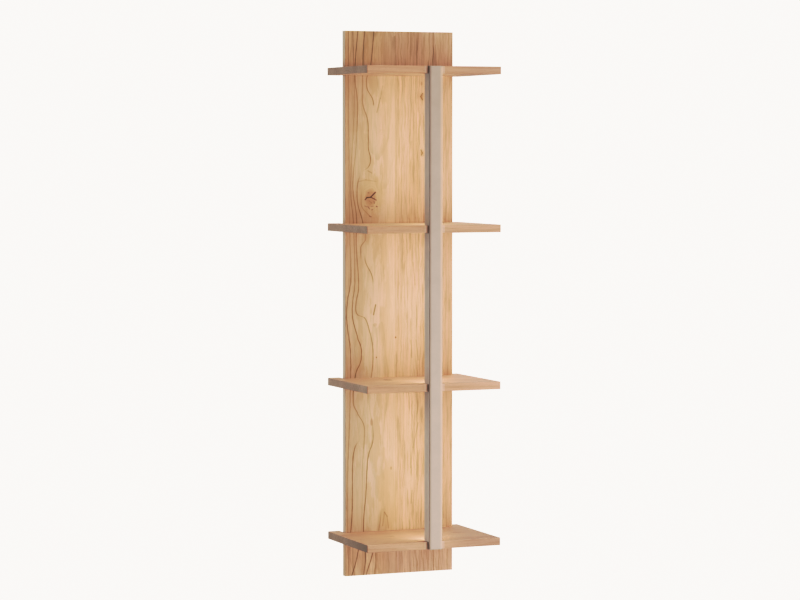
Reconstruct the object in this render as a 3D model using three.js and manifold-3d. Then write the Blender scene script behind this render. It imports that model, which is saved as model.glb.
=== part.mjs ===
// Wall-hung bookshelf. A tall timber board stands a little way off the wall and carries four
// shelves, and an upright metal profile, the spine, is let into their front edges and holds
// a light in each bay, facing the board.
//
// Millimetres. +X is to the right, +Y towards the wall and +Z up. The wall is the plane Y = 0,
// and the origin is the middle of the wall batten's back face.
import * as THREE from "three";
import { mergeVertices } from "three/addons/utils/BufferGeometryUtils.js";
import Module from "manifold-3d";

const wasm = await Module();
wasm.setup();

// Back board
const boardHeight = 1900;
const boardWidth = 406;
const boardThickness = 25;
const wallGap = 32; // from the wall to the board's back
const hangDrop = 250; // from the board's top down to the middle of the wall batten

// Shelves
const shelfCount = 4;
const shelfOverhang = 44; // how far a shelf reaches past each side of the board
const shelfDepth = 373; // from the wall to the front edge
const shelfThickness = 26;
const boardReach = 127.5; // board above the top shelf and below the bottom one
const shelfCorner = 3; // radius of the four outer corners
const timberArris = 1.2; // rounding of the long timber edges
const notchPlay = 0.5; // between the board's side and the notch that goes round it

// Spine, a rounded rectangular metal tube
const spineWidth = 50;
const spineDepth = 45;
const spineWall = 3;
const spineRadius = 5;
const spineProud = 12; // how far it stands out in front of the shelves
const slotPlay = 0.8; // between the spine's side and its slot in the shelf
const capPlate = 2;
const capSkirtHeight = 4;
const capSkirtWall = 2;

// Lights in the spine's rear wall
const lightEndGap = 12; // from each shelf to the end of the light
const channelWidth = 16;
const channelDepth = 9;
const channelWall = 1.2;
const channelLipReach = 2.5;
const channelLipThickness = 1;
const stripWidth = 10;
const stripThickness = 0.6;
const chipWidth = 3;
const chipHeight = 0.8;
const chipPitch = 22;
const diffuserThickness = 1.2;
const diffuserLegHeight = 3;
const diffuserLegWall = 1;

// Screws that hold each shelf, driven through the board from behind
const shelfScrewLength = 60;
const shelfScrewDiameter = 5;
const shelfScrewHead = 10;
const shelfScrewShare = 0.14; // of the board's width, each side of the middle
const screwTipShare = 1.2; // length of a screw's point, of its diameter
const threadShare = 0.6; // of a screw's length
const shankShare = 0.8; // of the thread's diameter
const driveShare = 0.5; // width of the socket, of the head
const driveDepthShare = 0.4; // depth of the socket, of the diameter

// Dowels between board and shelf
const dowelDiameter = 8;
const dowelLength = 40;
const dowelInBoard = 15;
const dowelChamfer = 1;
const dowelShare = 0.36; // of the board's width, each side of the middle

// Cam fitting between shelf and spine
const camDiameter = 15;
const camHeight = 20;
const camDistance = 24; // from the slot's end to the middle of the cam
const camDriveWidth = 1.4;
const camDriveLength = 8;
const camDriveDepth = 3;
const boltThreadDiameter = 6;
const boltThreadLength = 10;
const boltCollarDiameter = 7;
const boltNeckDiameter = 4;
const boltNeckLength = 5;
const boltHeadDiameter = 6.4;
const boltHeadLength = 3;
const nutFlangeDiameter = 13;
const nutFlangeThickness = 1.2;
const nutBodyDiameter = 9;
const nutBulgeDiameter = 11.5;
const nutBulgeLength = 3.5;
const nutLength = 14;

// Battens behind the board
const battenLength = 300;
const battenShortSide = 40; // height of the narrow face of a bevelled batten
const battenPlay = 1; // from a bevelled batten to the face that it doesn't touch
const battenScrewLength = 45;
const battenScrewDiameter = 4;
const battenScrewHead = 8;
const battenScrewShare = 0.36; // of the batten's length, each side of the middle
const wallHoleDiameter = 6;
const wallHoleHead = 12;
const spacerHeight = 40;
const spacerRise = 50; // from the board's bottom to the spacer

// Supply unit for the lights and the lead that feeds them
const driverLength = 170;
const driverWidth = 52;
const driverDepth = 20;
const driverRadius = 4;
const driverTabLength = 12;
const driverTabThickness = 3;
const driverScrewLength = 16;
const driverScrewDiameter = 3.5;
const driverScrewHead = 7;
const glandDiameter = 12;
const glandHeight = 10;
const glandBore = 7;
const glandNutShare = 0.45; // of the gland's height
const glandTopShare = 0.8; // of the gland's diameter
const leadDiameter = 4;
const leadOffset = 16; // from the middle of the shelf
const leadBend = 9; // radius of the lead's bends
const leadTail = 20; // lead beside the topmost light
const grooveDepth = 14; // groove for the lead in the underside of the bottom shelf

// Clearances and fineness
const seat = 0.3; // around what sits in a hole, and between sloping faces
const overrun = 1; // how far a cutter passes the face that it cuts
const roundSides = 16;
const smallSides = 12;
const leadSides = 8;
const bendSteps = 6;
const arrisSteps = 2;
const cornerSteps = 4;
const socketSides = 6; // of the socket in a screw's head

// Levels and planes that the pieces share
const boardTop = hangDrop;
const boardBottom = boardTop - boardHeight;
const boardBack = -wallGap;
const boardFront = boardBack - boardThickness;
const shelfWidth = boardWidth + shelfOverhang * 2;
const shelfFront = -shelfDepth;
const shelfPitch = (boardHeight - boardReach - boardReach - shelfThickness) / (shelfCount - 1);
const spineFront = shelfFront - spineProud;
const spineBack = spineFront + spineDepth;
const spineMiddle = spineFront + spineDepth / 2;
const bottomShelf = boardBottom + boardReach; // underside of the lowest shelf
const topShelf = bottomShelf + shelfPitch * (shelfCount - 1); // underside of the highest shelf
const lightLength = shelfPitch - shelfThickness - lightEndGap * 2;
const nutRecess = nutFlangeThickness + seat;
const leadLevel = bottomShelf + grooveDepth - seat - leadDiameter / 2;
const driverBottom = bottomShelf + (shelfPitch - driverLength) / 2;
const battenDepth = wallGap - battenPlay;
const spacerMiddle = boardBottom + spacerRise + spacerHeight / 2;
const hangerFoot = battenShortSide / 2 + wallGap + seat; // the hanger's foot, at the board
const hangerMiddle = hangerFoot + battenShortSide / 2;

const colours = {
  timber: [0.72, 0.5, 0.3, 0.55, 0],
  metal: [0.6, 0.53, 0.45, 0.4, 0.6],
  cap: [0.5, 0.44, 0.38, 0.5, 0],
  aluminium: [0.75, 0.75, 0.76, 0.4, 0.9],
  strip: [0.9, 0.82, 0.5, 0.6, 0],
  opal: [0.95, 0.93, 0.88, 0.5, 0],
  steel: [0.6, 0.6, 0.62, 0.35, 1],
  zinc: [0.62, 0.6, 0.55, 0.45, 0.9],
  beech: [0.8, 0.65, 0.47, 0.7, 0],
  batten: [0.78, 0.66, 0.48, 0.75, 0],
  housing: [0.88, 0.88, 0.86, 0.5, 0],
  black: [0.06, 0.06, 0.06, 0.6, 0],
};

const bookshelf = new THREE.Group();
bookshelf.name = "spine_bookshelf";

// A material in one of the colours above.
function finish(name) {
  const [red, green, blue, roughness, metalness] = colours[name];
  const color = new THREE.Color(red, green, blue);
  return new THREE.MeshStandardMaterial({ name, color, roughness, metalness });
}

// Adds one named piece to the bookshelf.
function piece(name, geometry, colour) {
  const mesh = new THREE.Mesh(geometry, finish(colour));
  mesh.name = name;
  bookshelf.add(mesh);
}

// Turns a closed geometry into a solid that can be joined and cut.
function toSolid(geometry) {
  const bare = new THREE.BufferGeometry();
  bare.setAttribute("position", geometry.getAttribute("position").clone());
  if (geometry.index) bare.setIndex(geometry.index.clone());
  const merged = mergeVertices(bare);
  const vertProperties = new Float32Array(merged.getAttribute("position").array);
  const triVerts = new Uint32Array(merged.index.array);
  return new wasm.Manifold(new wasm.Mesh({ numProp: 3, vertProperties, triVerts }));
}

// Turns a solid back into a geometry with flat faces.
function toGeometry(solid) {
  const mesh = solid.getMesh();
  const geometry = new THREE.BufferGeometry();
  geometry.setAttribute("position", new THREE.BufferAttribute(mesh.vertProperties, 3));
  geometry.setIndex(new THREE.BufferAttribute(mesh.triVerts, 1));
  const flat = geometry.toNonIndexed();
  flat.computeVertexNormals();
  return flat;
}

// Takes every cutter out of a body.
function cut(body, cutters) {
  return toGeometry(cutters.reduce((left, cutter) => left.subtract(toSolid(cutter)), toSolid(body)));
}

// Joins several bodies that overlap into one.
function join(bodies) {
  return toGeometry(bodies.map(toSolid).reduce((whole, body) => whole.add(body)));
}

// A box given by its two far corners.
function boxBetween(x0, x1, y0, y1, z0, z1) {
  const box = new THREE.BoxGeometry(x1 - x0, y1 - y0, z1 - z0);
  return box.translate((x0 + x1) / 2, (y0 + y1) / 2, (z0 + z1) / 2);
}

// A round bar along Y, from one Y to a larger one.
function barAlongY(diameter, x, y0, y1, z, sides = roundSides) {
  const bar = new THREE.CylinderGeometry(diameter / 2, diameter / 2, y1 - y0, sides);
  return bar.translate(x, (y0 + y1) / 2, z);
}

// A body turned about the Y axis from pairs of radius and height, its height along Y.
function turned(pairs, sides = roundSides) {
  return new THREE.LatheGeometry(pairs.map(([radius, height]) => new THREE.Vector2(radius, height)), sides);
}

// A body extruded upward from an outline, its long edges rounded by the arris.
function slab(outline, height, arris) {
  const body = new THREE.ExtrudeGeometry(outline, {
    depth: height - arris * 2,
    bevelEnabled: arris > 0,
    bevelThickness: arris,
    bevelSize: arris,
    bevelOffset: -arris,
    bevelSegments: arrisSteps,
    curveSegments: cornerSteps,
  });
  return body.translate(0, 0, arris);
}

// An outline through a list of corners.
function polygon(corners) {
  return new THREE.Shape(corners.map(([x, y]) => new THREE.Vector2(x, y)));
}

// A rectangle with round corners, centred on the middle given.
function roundedRectangle(width, depth, radius, middleY) {
  const x = width / 2 - radius;
  const y = depth / 2 - radius;
  const shape = new THREE.Shape();
  shape.absarc(x, middleY + y, radius, 0, Math.PI / 2);
  shape.absarc(-x, middleY + y, radius, Math.PI / 2, Math.PI);
  shape.absarc(-x, middleY - y, radius, Math.PI, Math.PI * 1.5);
  shape.absarc(x, middleY - y, radius, Math.PI * 1.5, Math.PI * 2);
  return shape;
}

// Underside of a shelf, counted from the top.
function shelfLevel(index) {
  return topShelf - shelfPitch * index;
}

// The two places to the left and right of the middle.
function bothSides(offset) {
  return [-offset, offset];
}

// A countersunk screw along Y with its head's face at headY and its point towards the front.
function screw(length, diameter, head) {
  const radius = diameter / 2;
  const shank = radius * shankShare;
  const headDepth = head / 2 - shank;
  const body = turned([
    [0, -length],
    [radius, -length + diameter * screwTipShare],
    [radius, -length + length * threadShare],
    [shank, -length + length * threadShare],
    [shank, -headDepth],
    [head / 2, 0],
    [0, 0],
  ], smallSides);
  const depth = diameter * driveDepthShare;
  const socketRadius = (head * driveShare) / 2;
  const socket = new THREE.CylinderGeometry(socketRadius, socketRadius, depth + overrun, socketSides);
  return cut(body, [socket.translate(0, (overrun - depth) / 2, 0)]);
}

// The hole for such a screw: countersunk at headY, clear down to clearY, then snug to its point.
function screwHole(length, diameter, head, x, headY, z) {
  const radius = diameter / 2 + seat;
  const headDepth = head / 2 - (diameter / 2) * shankShare;
  const hole = turned([
    [0, -length - seat],
    [radius, -length - seat],
    [radius, -headDepth],
    [head / 2 + seat, 0],
    [head / 2 + seat, overrun],
    [0, overrun],
  ], smallSides);
  return hole.translate(x, headY, z);
}

// Holes for the fixings of one shelf, with the names and places that both pieces share.
function shelfFixings(index) {
  const z = shelfLevel(index) + shelfThickness / 2;
  return {
    z,
    screws: bothSides(boardWidth * shelfScrewShare),
    dowels: bothSides(boardWidth * dowelShare),
  };
}

function shelfScrewHole(x, z) {
  return screwHole(shelfScrewLength, shelfScrewDiameter, shelfScrewHead, x, boardBack, z);
}

function dowelHole(x, z) {
  const back = boardFront + dowelInBoard + seat;
  return barAlongY(dowelDiameter + seat * 2, x, back - dowelLength - seat * 2, back, z, smallSides);
}

function battenScrewHole(x, headY, z) {
  return screwHole(battenScrewLength, battenScrewDiameter, battenScrewHead, x, headY, z);
}

function driverScrewLevels() {
  const reach = driverLength / 2 + driverTabLength / 2;
  const middle = driverBottom + driverLength / 2;
  return [middle - reach, middle + reach];
}

function driverScrewHole(z) {
  const headY = boardBack + driverTabThickness;
  return screwHole(driverScrewLength, driverScrewDiameter, driverScrewHead, 0, headY, z);
}

// The lead's hole through the board.
function leadHole() {
  return barAlongY(leadDiameter + seat * 2, leadOffset, boardFront - overrun, boardBack + overrun, leadLevel,
    smallSides);
}

// The back board, with every hole that its fixings need.
function backBoard() {
  const outline = polygon([
    [-boardWidth / 2, boardBottom],
    [boardWidth / 2, boardBottom],
    [boardWidth / 2, boardTop],
    [-boardWidth / 2, boardTop],
  ]);
  const body = slab(outline, boardThickness, timberArris);
  body.rotateX(Math.PI / 2);
  body.translate(0, boardBack, 0);
  const holes = [leadHole()];
  for (let index = 0; index < shelfCount; index += 1) {
    const { z, screws, dowels } = shelfFixings(index);
    for (const x of screws) holes.push(shelfScrewHole(x, z));
    for (const x of dowels) holes.push(dowelHole(x, z));
  }
  for (const x of bothSides(battenLength * battenScrewShare)) {
    holes.push(battenScrewHole(x, -battenPlay, hangerMiddle));
    holes.push(battenScrewHole(x, 0, spacerMiddle));
  }
  holes.push(battenScrewHole(0, -battenPlay, hangerMiddle));
  for (const z of driverScrewLevels()) holes.push(driverScrewHole(z));
  piece("back_board", cut(body, holes), "timber");
}

// Plan of a shelf: a slot for the spine in front and a notch round the board behind.
function shelfOutline() {
  const side = shelfWidth / 2;
  const slot = spineWidth / 2 + slotPlay;
  const notch = boardWidth / 2 + notchPlay;
  const inner = side - shelfCorner;
  const shape = new THREE.Shape();
  shape.moveTo(-slot, shelfFront);
  shape.lineTo(-slot, spineBack);
  shape.lineTo(slot, spineBack);
  shape.lineTo(slot, shelfFront);
  shape.absarc(inner, shelfFront + shelfCorner, shelfCorner, -Math.PI / 2, 0);
  shape.absarc(inner, -shelfCorner, shelfCorner, 0, Math.PI / 2);
  shape.lineTo(notch, 0);
  shape.lineTo(notch, boardFront);
  shape.lineTo(-notch, boardFront);
  shape.lineTo(-notch, 0);
  shape.absarc(-inner, -shelfCorner, shelfCorner, Math.PI / 2, Math.PI);
  shape.absarc(-inner, shelfFront + shelfCorner, shelfCorner, Math.PI, Math.PI * 1.5);
  return shape;
}

// The cam's pocket, the bolt's bore and the nut's recess in one shelf.
function camCutters(z) {
  const camY = spineBack + camDistance;
  const radius = camDiameter / 2 + seat;
  const pocket = new THREE.CylinderGeometry(radius, radius, camHeight + seat + overrun, roundSides);
  pocket.rotateX(Math.PI / 2);
  pocket.translate(0, camY, z + (camHeight + seat - overrun) / 2);
  const level = z + shelfThickness / 2;
  const bore = barAlongY(boltCollarDiameter + seat * 2, 0, spineBack - overrun, camY, level, smallSides);
  const recess = barAlongY(nutFlangeDiameter + seat * 2, 0, spineBack - overrun, spineBack + nutRecess, level);
  return [pocket, bore, recess];
}

// The groove that carries the lead under the bottom shelf.
function leadGroove() {
  const half = leadDiameter / 2 + seat;
  return boxBetween(leadOffset - half, leadOffset + half, spineBack - overrun, boardFront + overrun,
    bottomShelf - overrun, bottomShelf + grooveDepth);
}

function shelf(index) {
  const level = shelfLevel(index);
  const body = slab(shelfOutline(), shelfThickness, timberArris);
  body.translate(0, 0, level);
  const { z, screws, dowels } = shelfFixings(index);
  const holes = camCutters(level);
  for (const x of screws) holes.push(shelfScrewHole(x, z));
  for (const x of dowels) holes.push(dowelHole(x, z));
  if (index === shelfCount - 1) holes.push(leadGroove());
  piece(`shelf_${index + 1}`, cut(body, holes), "timber");
}

// The screws and dowels between one shelf and the board.
function boardFixings(index) {
  const { z, screws, dowels } = shelfFixings(index);
  const sides = ["left", "right"];
  screws.forEach((x, side) => {
    const body = screw(shelfScrewLength, shelfScrewDiameter, shelfScrewHead);
    piece(`shelf_${index + 1}_screw_${sides[side]}`, body.translate(x, boardBack, z), "steel");
  });
  dowels.forEach((x, side) => {
    const radius = dowelDiameter / 2;
    const body = turned([
      [0, -dowelLength],
      [radius - dowelChamfer, -dowelLength],
      [radius, -dowelLength + dowelChamfer],
      [radius, -dowelChamfer],
      [radius - dowelChamfer, 0],
      [0, 0],
    ], smallSides);
    piece(`shelf_${index + 1}_dowel_${sides[side]}`, body.translate(x, boardFront + dowelInBoard, z), "beech");
  });
}

// The rivet nut in the spine, the bolt in it and the cam that draws the bolt into the shelf.
function spineFixing(index) {
  const z = shelfLevel(index) + shelfThickness / 2;
  rivetNut(index, z);
  camBolt(index, z);
  cam(index, z);
}

function rivetNut(index, z) {
  const bore = boltThreadDiameter / 2 + seat;
  const body = nutBodyDiameter / 2;
  const flange = nutFlangeThickness;
  const behindWall = -spineWall - seat;
  const nut = turned([
    [bore, flange],
    [bore, flange - nutLength],
    [body, flange - nutLength],
    [body, behindWall - nutBulgeLength],
    [nutBulgeDiameter / 2, behindWall - nutBulgeLength],
    [nutBulgeDiameter / 2, behindWall],
    [body, behindWall],
    [body, 0],
    [nutFlangeDiameter / 2, 0],
    [nutFlangeDiameter / 2, flange],
    [bore, flange],
  ]);
  piece(`spine_nut_${index + 1}`, nut.translate(0, spineBack, z), "steel");
}

function camBolt(index, z) {
  const collarStart = nutFlangeThickness;
  const headEnd = camDistance + boltHeadLength / 2;
  const neckEnd = headEnd - boltHeadLength;
  const collarEnd = neckEnd - boltNeckLength;
  const bolt = turned([
    [0, collarStart - boltThreadLength],
    [boltThreadDiameter / 2, collarStart - boltThreadLength],
    [boltThreadDiameter / 2, collarStart],
    [boltCollarDiameter / 2, collarStart],
    [boltCollarDiameter / 2, collarEnd],
    [boltNeckDiameter / 2, collarEnd],
    [boltNeckDiameter / 2, neckEnd],
    [boltHeadDiameter / 2, neckEnd],
    [boltHeadDiameter / 2, headEnd],
    [0, headEnd],
  ], smallSides);
  piece(`cam_bolt_${index + 1}`, bolt.translate(0, spineBack, z), "steel");
}

function cam(index, z) {
  const level = z - shelfThickness / 2;
  const camY = spineBack + camDistance;
  const radius = camDiameter / 2;
  const drum = new THREE.CylinderGeometry(radius, radius, camHeight, roundSides);
  drum.rotateX(Math.PI / 2);
  drum.translate(0, camY, level + camHeight / 2);
  const clear = boltCollarDiameter + seat * 2;
  const throat = barAlongY(clear, 0, camY - camDiameter, camY + boltHeadLength / 2 + seat, z, smallSides);
  const half = camDriveWidth / 2;
  const reach = camDriveLength / 2;
  const top = level + camDriveDepth;
  const crossX = boxBetween(-reach, reach, camY - half, camY + half, level - overrun, top);
  const crossY = boxBetween(-half, half, camY - reach, camY + reach, level - overrun, top);
  piece(`cam_${index + 1}`, cut(drum, [throat, crossX, crossY]), "zinc");
}

// Level of the lower end of the light in one bay.
function lightLevel(bay) {
  return shelfLevel(bay + 1) + shelfThickness + lightEndGap;
}

function spineTube() {
  const bottom = bottomShelf + capPlate;
  const top = topShelf + shelfThickness - capPlate;
  const outline = roundedRectangle(spineWidth, spineDepth, spineRadius, spineMiddle);
  const innerWidth = spineWidth - spineWall * 2;
  const innerDepth = spineDepth - spineWall * 2;
  outline.holes.push(roundedRectangle(innerWidth, innerDepth, spineRadius - spineWall, spineMiddle));
  const tube = slab(outline, top - bottom, 0);
  tube.translate(0, 0, bottom);
  const half = channelWidth / 2 + seat;
  const inside = spineBack - spineWall - overrun;
  const holes = [];
  for (let bay = 0; bay < shelfCount - 1; bay += 1) {
    const z = lightLevel(bay);
    holes.push(boxBetween(-half, half, inside, spineBack + overrun, z - seat, z + lightLength + seat));
  }
  for (let index = 0; index < shelfCount; index += 1) {
    const z = shelfLevel(index) + shelfThickness / 2;
    holes.push(barAlongY(nutBodyDiameter + seat * 2, 0, inside, spineBack + overrun, z));
  }
  holes.push(barAlongY(leadDiameter + seat * 2, leadOffset, inside, spineBack + overrun, leadLevel, smallSides));
  piece("spine_tube", cut(tube, holes), "metal");
}

// A cap for one end of the spine: a plate the size of the tube and a skirt inside it.
function spineCap(name, outerFace, inward) {
  const plate = slab(roundedRectangle(spineWidth, spineDepth, spineRadius, spineMiddle), capPlate, 0);
  const skirtInset = spineWall + seat;
  const outer = roundedRectangle(spineWidth - skirtInset * 2, spineDepth - skirtInset * 2,
    spineRadius - spineWall, spineMiddle);
  const innerInset = skirtInset + capSkirtWall;
  outer.holes.push(roundedRectangle(spineWidth - innerInset * 2, spineDepth - innerInset * 2,
    spineRadius - spineWall, spineMiddle));
  const skirt = slab(outer, capPlate + capSkirtHeight, 0);
  const cap = join([plate, skirt]);
  if (inward < 0) cap.scale(1, 1, -1);
  piece(name, inward < 0 ? turnedOutward(cap, outerFace) : cap.translate(0, 0, outerFace), "cap");
}

// A mirrored body with its faces turned outward again, moved up to its level.
function turnedOutward(geometry, level) {
  const position = geometry.getAttribute("position");
  const corner = new THREE.Vector3();
  const other = new THREE.Vector3();
  for (let start = 0; start < position.count; start += 3) {
    corner.fromBufferAttribute(position, start + 1);
    other.fromBufferAttribute(position, start + 2);
    position.setXYZ(start + 1, other.x, other.y, other.z);
    position.setXYZ(start + 2, corner.x, corner.y, corner.z);
  }
  geometry.computeVertexNormals();
  return geometry.translate(0, 0, level);
}

// The channel, light strip and diffuser of one bay.
function light(bay) {
  const level = lightLevel(bay);
  channel(bay, level);
  strip(bay, level);
  diffuser(bay, level);
}

function channel(bay, level) {
  const side = channelWidth / 2;
  const inner = side - channelWall;
  const lip = side + channelLipReach;
  const mouth = spineBack + channelLipThickness;
  const floor = spineBack - channelDepth;
  const outline = polygon([
    [-side, floor],
    [side, floor],
    [side, spineBack],
    [lip, spineBack],
    [lip, mouth],
    [inner, mouth],
    [inner, floor + channelWall],
    [-inner, floor + channelWall],
    [-inner, mouth],
    [-lip, mouth],
    [-lip, spineBack],
    [-side, spineBack],
  ]);
  const body = slab(outline, lightLength, 0);
  piece(`light_channel_${bay + 1}`, body.translate(0, 0, level), "aluminium");
}

function strip(bay, level) {
  const base = spineBack - channelDepth + channelWall;
  const face = base + stripThickness;
  const half = stripWidth / 2;
  const bodies = [boxBetween(-half, half, base, face, level, level + lightLength)];
  const chips = Math.max(1, Math.floor(lightLength / chipPitch));
  for (let chip = 0; chip < chips; chip += 1) {
    const z = level + (lightLength * (chip + 0.5)) / chips;
    const reach = chipWidth / 2;
    bodies.push(boxBetween(-reach, reach, base, face + chipHeight, z - reach, z + reach));
  }
  piece(`light_strip_${bay + 1}`, join(bodies), "strip");
}

function diffuser(bay, level) {
  const side = channelWidth / 2 - channelWall - seat;
  const inner = side - diffuserLegWall;
  const face = spineBack + channelLipThickness;
  const under = face - diffuserThickness;
  const foot = under - diffuserLegHeight;
  const outline = polygon([
    [-side, foot],
    [-inner, foot],
    [-inner, under],
    [inner, under],
    [inner, foot],
    [side, foot],
    [side, face],
    [-side, face],
  ]);
  const body = slab(outline, lightLength, 0);
  piece(`light_diffuser_${bay + 1}`, body.translate(0, 0, level), "opal");
}

// Lays an outline drawn as depth against height along X, centred.
function alongX(outline, length) {
  const body = new THREE.ExtrudeGeometry(outline, { depth: length, bevelEnabled: false });
  const turn = new THREE.Matrix4().set(0, 0, 1, -length / 2, 1, 0, 0, 0, 0, 1, 0, 0, 0, 0, 0, 1);
  return body.applyMatrix4(turn);
}

// The batten that is screwed to the wall, its top edge sloping down towards the wall.
function wallBatten() {
  const low = -battenShortSide / 2;
  const high = battenShortSide / 2;
  const body = alongX(polygon([
    [-battenDepth, low],
    [0, low],
    [0, high],
    [-battenDepth, high + battenDepth],
  ]), battenLength);
  const holes = bothSides(battenLength * battenScrewShare).map((x) => {
    const radius = wallHoleDiameter / 2;
    const head = wallHoleHead / 2;
    return turned([
      [0, -battenDepth - overrun],
      [head, -battenDepth - overrun],
      [head, -battenDepth],
      [radius, -battenDepth + head - radius],
      [radius, overrun],
      [0, overrun],
    ], smallSides).translate(x, 0, 0);
  });
  piece("wall_batten", cut(body, holes), "batten");
}

// The hanger on the board's back, which hooks over the wall batten.
function hangerBatten() {
  const top = hangerFoot + battenShortSide;
  const body = alongX(polygon([
    [boardBack, hangerFoot],
    [-battenPlay, hangerFoot - battenDepth],
    [-battenPlay, top],
    [boardBack, top],
  ]), battenLength);
  const places = [...bothSides(battenLength * battenScrewShare), 0];
  const holes = places.map((x) => battenScrewHole(x, -battenPlay, hangerMiddle));
  piece("hanger_batten", cut(body, holes), "batten");
  places.forEach((x, order) => {
    const body = screw(battenScrewLength, battenScrewDiameter, battenScrewHead);
    piece(`hanger_screw_${order + 1}`, body.translate(x, -battenPlay, hangerMiddle), "steel");
  });
}

// The spacer that keeps the foot of the board as far from the wall as the hanger does.
function spacerBatten() {
  const low = spacerMiddle - spacerHeight / 2;
  const high = spacerMiddle + spacerHeight / 2;
  const half = battenLength / 2;
  const places = bothSides(battenLength * battenScrewShare);
  const body = boxBetween(-half, half, boardBack, 0, low, high);
  const holes = places.map((x) => battenScrewHole(x, 0, spacerMiddle));
  piece("spacer_batten", cut(body, holes), "batten");
  places.forEach((x, order) => {
    const body = screw(battenScrewLength, battenScrewDiameter, battenScrewHead);
    piece(`spacer_screw_${order + 1}`, body.translate(x, 0, spacerMiddle), "steel");
  });
}

// The lights' supply unit behind the board, with the gland for its mains cord.
function driver() {
  const section = roundedRectangle(driverWidth, driverDepth, driverRadius, boardBack + driverDepth / 2);
  const body = slab(section, driverLength, 0).translate(0, 0, driverBottom);
  const tabs = boxBetween(-driverWidth / 2 + driverRadius, driverWidth / 2 - driverRadius, boardBack,
    boardBack + driverTabThickness, driverBottom - driverTabLength,
    driverBottom + driverLength + driverTabLength);
  const holes = driverScrewLevels().map(driverScrewHole);
  piece("light_driver", cut(join([body, tabs]), holes), "housing");
  driverScrewLevels().forEach((z, order) => {
    const body = screw(driverScrewLength, driverScrewDiameter, driverScrewHead);
    piece(`driver_screw_${order + 1}`, body.translate(0, boardBack + driverTabThickness, z), "steel");
  });
  const nutTop = glandHeight * glandNutShare;
  const gland = turned([
    [glandBore / 2, 0],
    [glandDiameter / 2, 0],
    [glandDiameter / 2, nutTop],
    [(glandDiameter * glandTopShare) / 2, glandHeight],
    [glandBore / 2, glandHeight],
    [glandBore / 2, 0],
  ]);
  gland.rotateX(Math.PI / 2);
  gland.translate(leadOffset, boardBack + driverDepth / 2, driverBottom + driverLength);
  piece("mains_gland", gland, "black");
}

// A path through listed points, one step to each.
class SteppedPath extends THREE.Curve {
  constructor(points) {
    super();
    this.points = points;
  }

  getPoint(share, target = new THREE.Vector3()) {
    const last = this.points.length - 1;
    const place = Math.min(Math.max(share, 0), 1) * last;
    const start = Math.min(Math.floor(place), last - 1);
    return target.lerpVectors(this.points[start], this.points[start + 1], place - start);
  }

  getPointAt(share, target) {
    return this.getPoint(share, target);
  }

  getTangentAt(share, target) {
    return this.getTangent(share, target);
  }
}

// Points round a quarter bend in a plane of constant X, from one angle to another.
function bend(middleY, middleZ, from, to) {
  const points = [];
  for (let step = 0; step <= bendSteps; step += 1) {
    const angle = from + ((to - from) * step) / bendSteps;
    const y = middleY + Math.cos(angle) * leadBend;
    const z = middleZ + Math.sin(angle) * leadBend;
    points.push(new THREE.Vector3(leadOffset, y, z));
  }
  return points;
}

// The low-voltage lead: down behind the board, through it, along the groove and up the spine.
function lead() {
  const startY = boardBack + driverDepth / 2;
  const level = leadLevel + leadBend;
  const topEnd = lightLevel(0) + leadTail;
  const points = [
    new THREE.Vector3(leadOffset, startY, driverBottom - seat),
    ...bend(startY - leadBend, level, 0, -Math.PI / 2),
    ...bend(spineMiddle + leadBend, level, Math.PI * 1.5, Math.PI),
    new THREE.Vector3(leadOffset, spineMiddle, topEnd),
  ];
  const section = new THREE.Shape();
  section.absarc(0, 0, leadDiameter / 2, 0, Math.PI * 2);
  const body = new THREE.ExtrudeGeometry(section, {
    steps: points.length - 1,
    curveSegments: leadSides,
    extrudePath: new SteppedPath(points),
  });
  piece("light_lead", body, "black");
}

backBoard();
for (let index = 0; index < shelfCount; index += 1) {
  shelf(index);
  boardFixings(index);
  spineFixing(index);
}
spineTube();
spineCap("spine_cap_bottom", bottomShelf, 1);
spineCap("spine_cap_top", topShelf + shelfThickness, -1);
for (let bay = 0; bay < shelfCount - 1; bay += 1) light(bay);
wallBatten();
hangerBatten();
spacerBatten();
driver();
lead();

export default bookshelf;
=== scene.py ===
"""Dresses the wall-hung spine bookshelf: figured timber, a lacquered spine, lit bays and every fitting.

Metres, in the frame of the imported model: +X right, +Y towards the wall, +Z up.
"""

from __future__ import annotations

import logging
import math
from collections.abc import Sequence
from dataclasses import dataclass
from enum import Enum

import bmesh
import bpy
from mathutils import Euler, Matrix, Vector


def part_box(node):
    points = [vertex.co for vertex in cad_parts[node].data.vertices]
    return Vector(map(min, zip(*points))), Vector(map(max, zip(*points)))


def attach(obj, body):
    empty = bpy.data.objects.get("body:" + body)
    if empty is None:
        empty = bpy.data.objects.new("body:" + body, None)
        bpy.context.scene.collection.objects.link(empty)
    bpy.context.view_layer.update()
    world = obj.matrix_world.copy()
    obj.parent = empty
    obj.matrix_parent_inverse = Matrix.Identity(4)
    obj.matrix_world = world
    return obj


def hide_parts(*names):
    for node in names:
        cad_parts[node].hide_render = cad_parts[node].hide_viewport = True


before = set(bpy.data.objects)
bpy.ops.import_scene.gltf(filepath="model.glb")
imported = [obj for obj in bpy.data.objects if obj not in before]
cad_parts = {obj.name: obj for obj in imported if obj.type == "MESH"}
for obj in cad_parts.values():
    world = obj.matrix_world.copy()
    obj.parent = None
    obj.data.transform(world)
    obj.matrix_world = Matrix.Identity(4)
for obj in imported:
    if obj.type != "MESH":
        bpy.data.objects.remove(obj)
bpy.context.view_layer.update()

log = logging.getLogger("bookshelf")

Colour = tuple[float, float, float]
Point = tuple[float, float, float]
Share = tuple[float, float]
Ring = list[Vector]
Body = bmesh.types.BMesh
Finish = bpy.types.Material
Piece = bpy.types.Object
Node = bpy.types.Node
Tree = bpy.types.NodeTree
Socket = bpy.types.NodeSocket
Outputs = bpy.types.bpy_prop_collection
Feed = object

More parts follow.
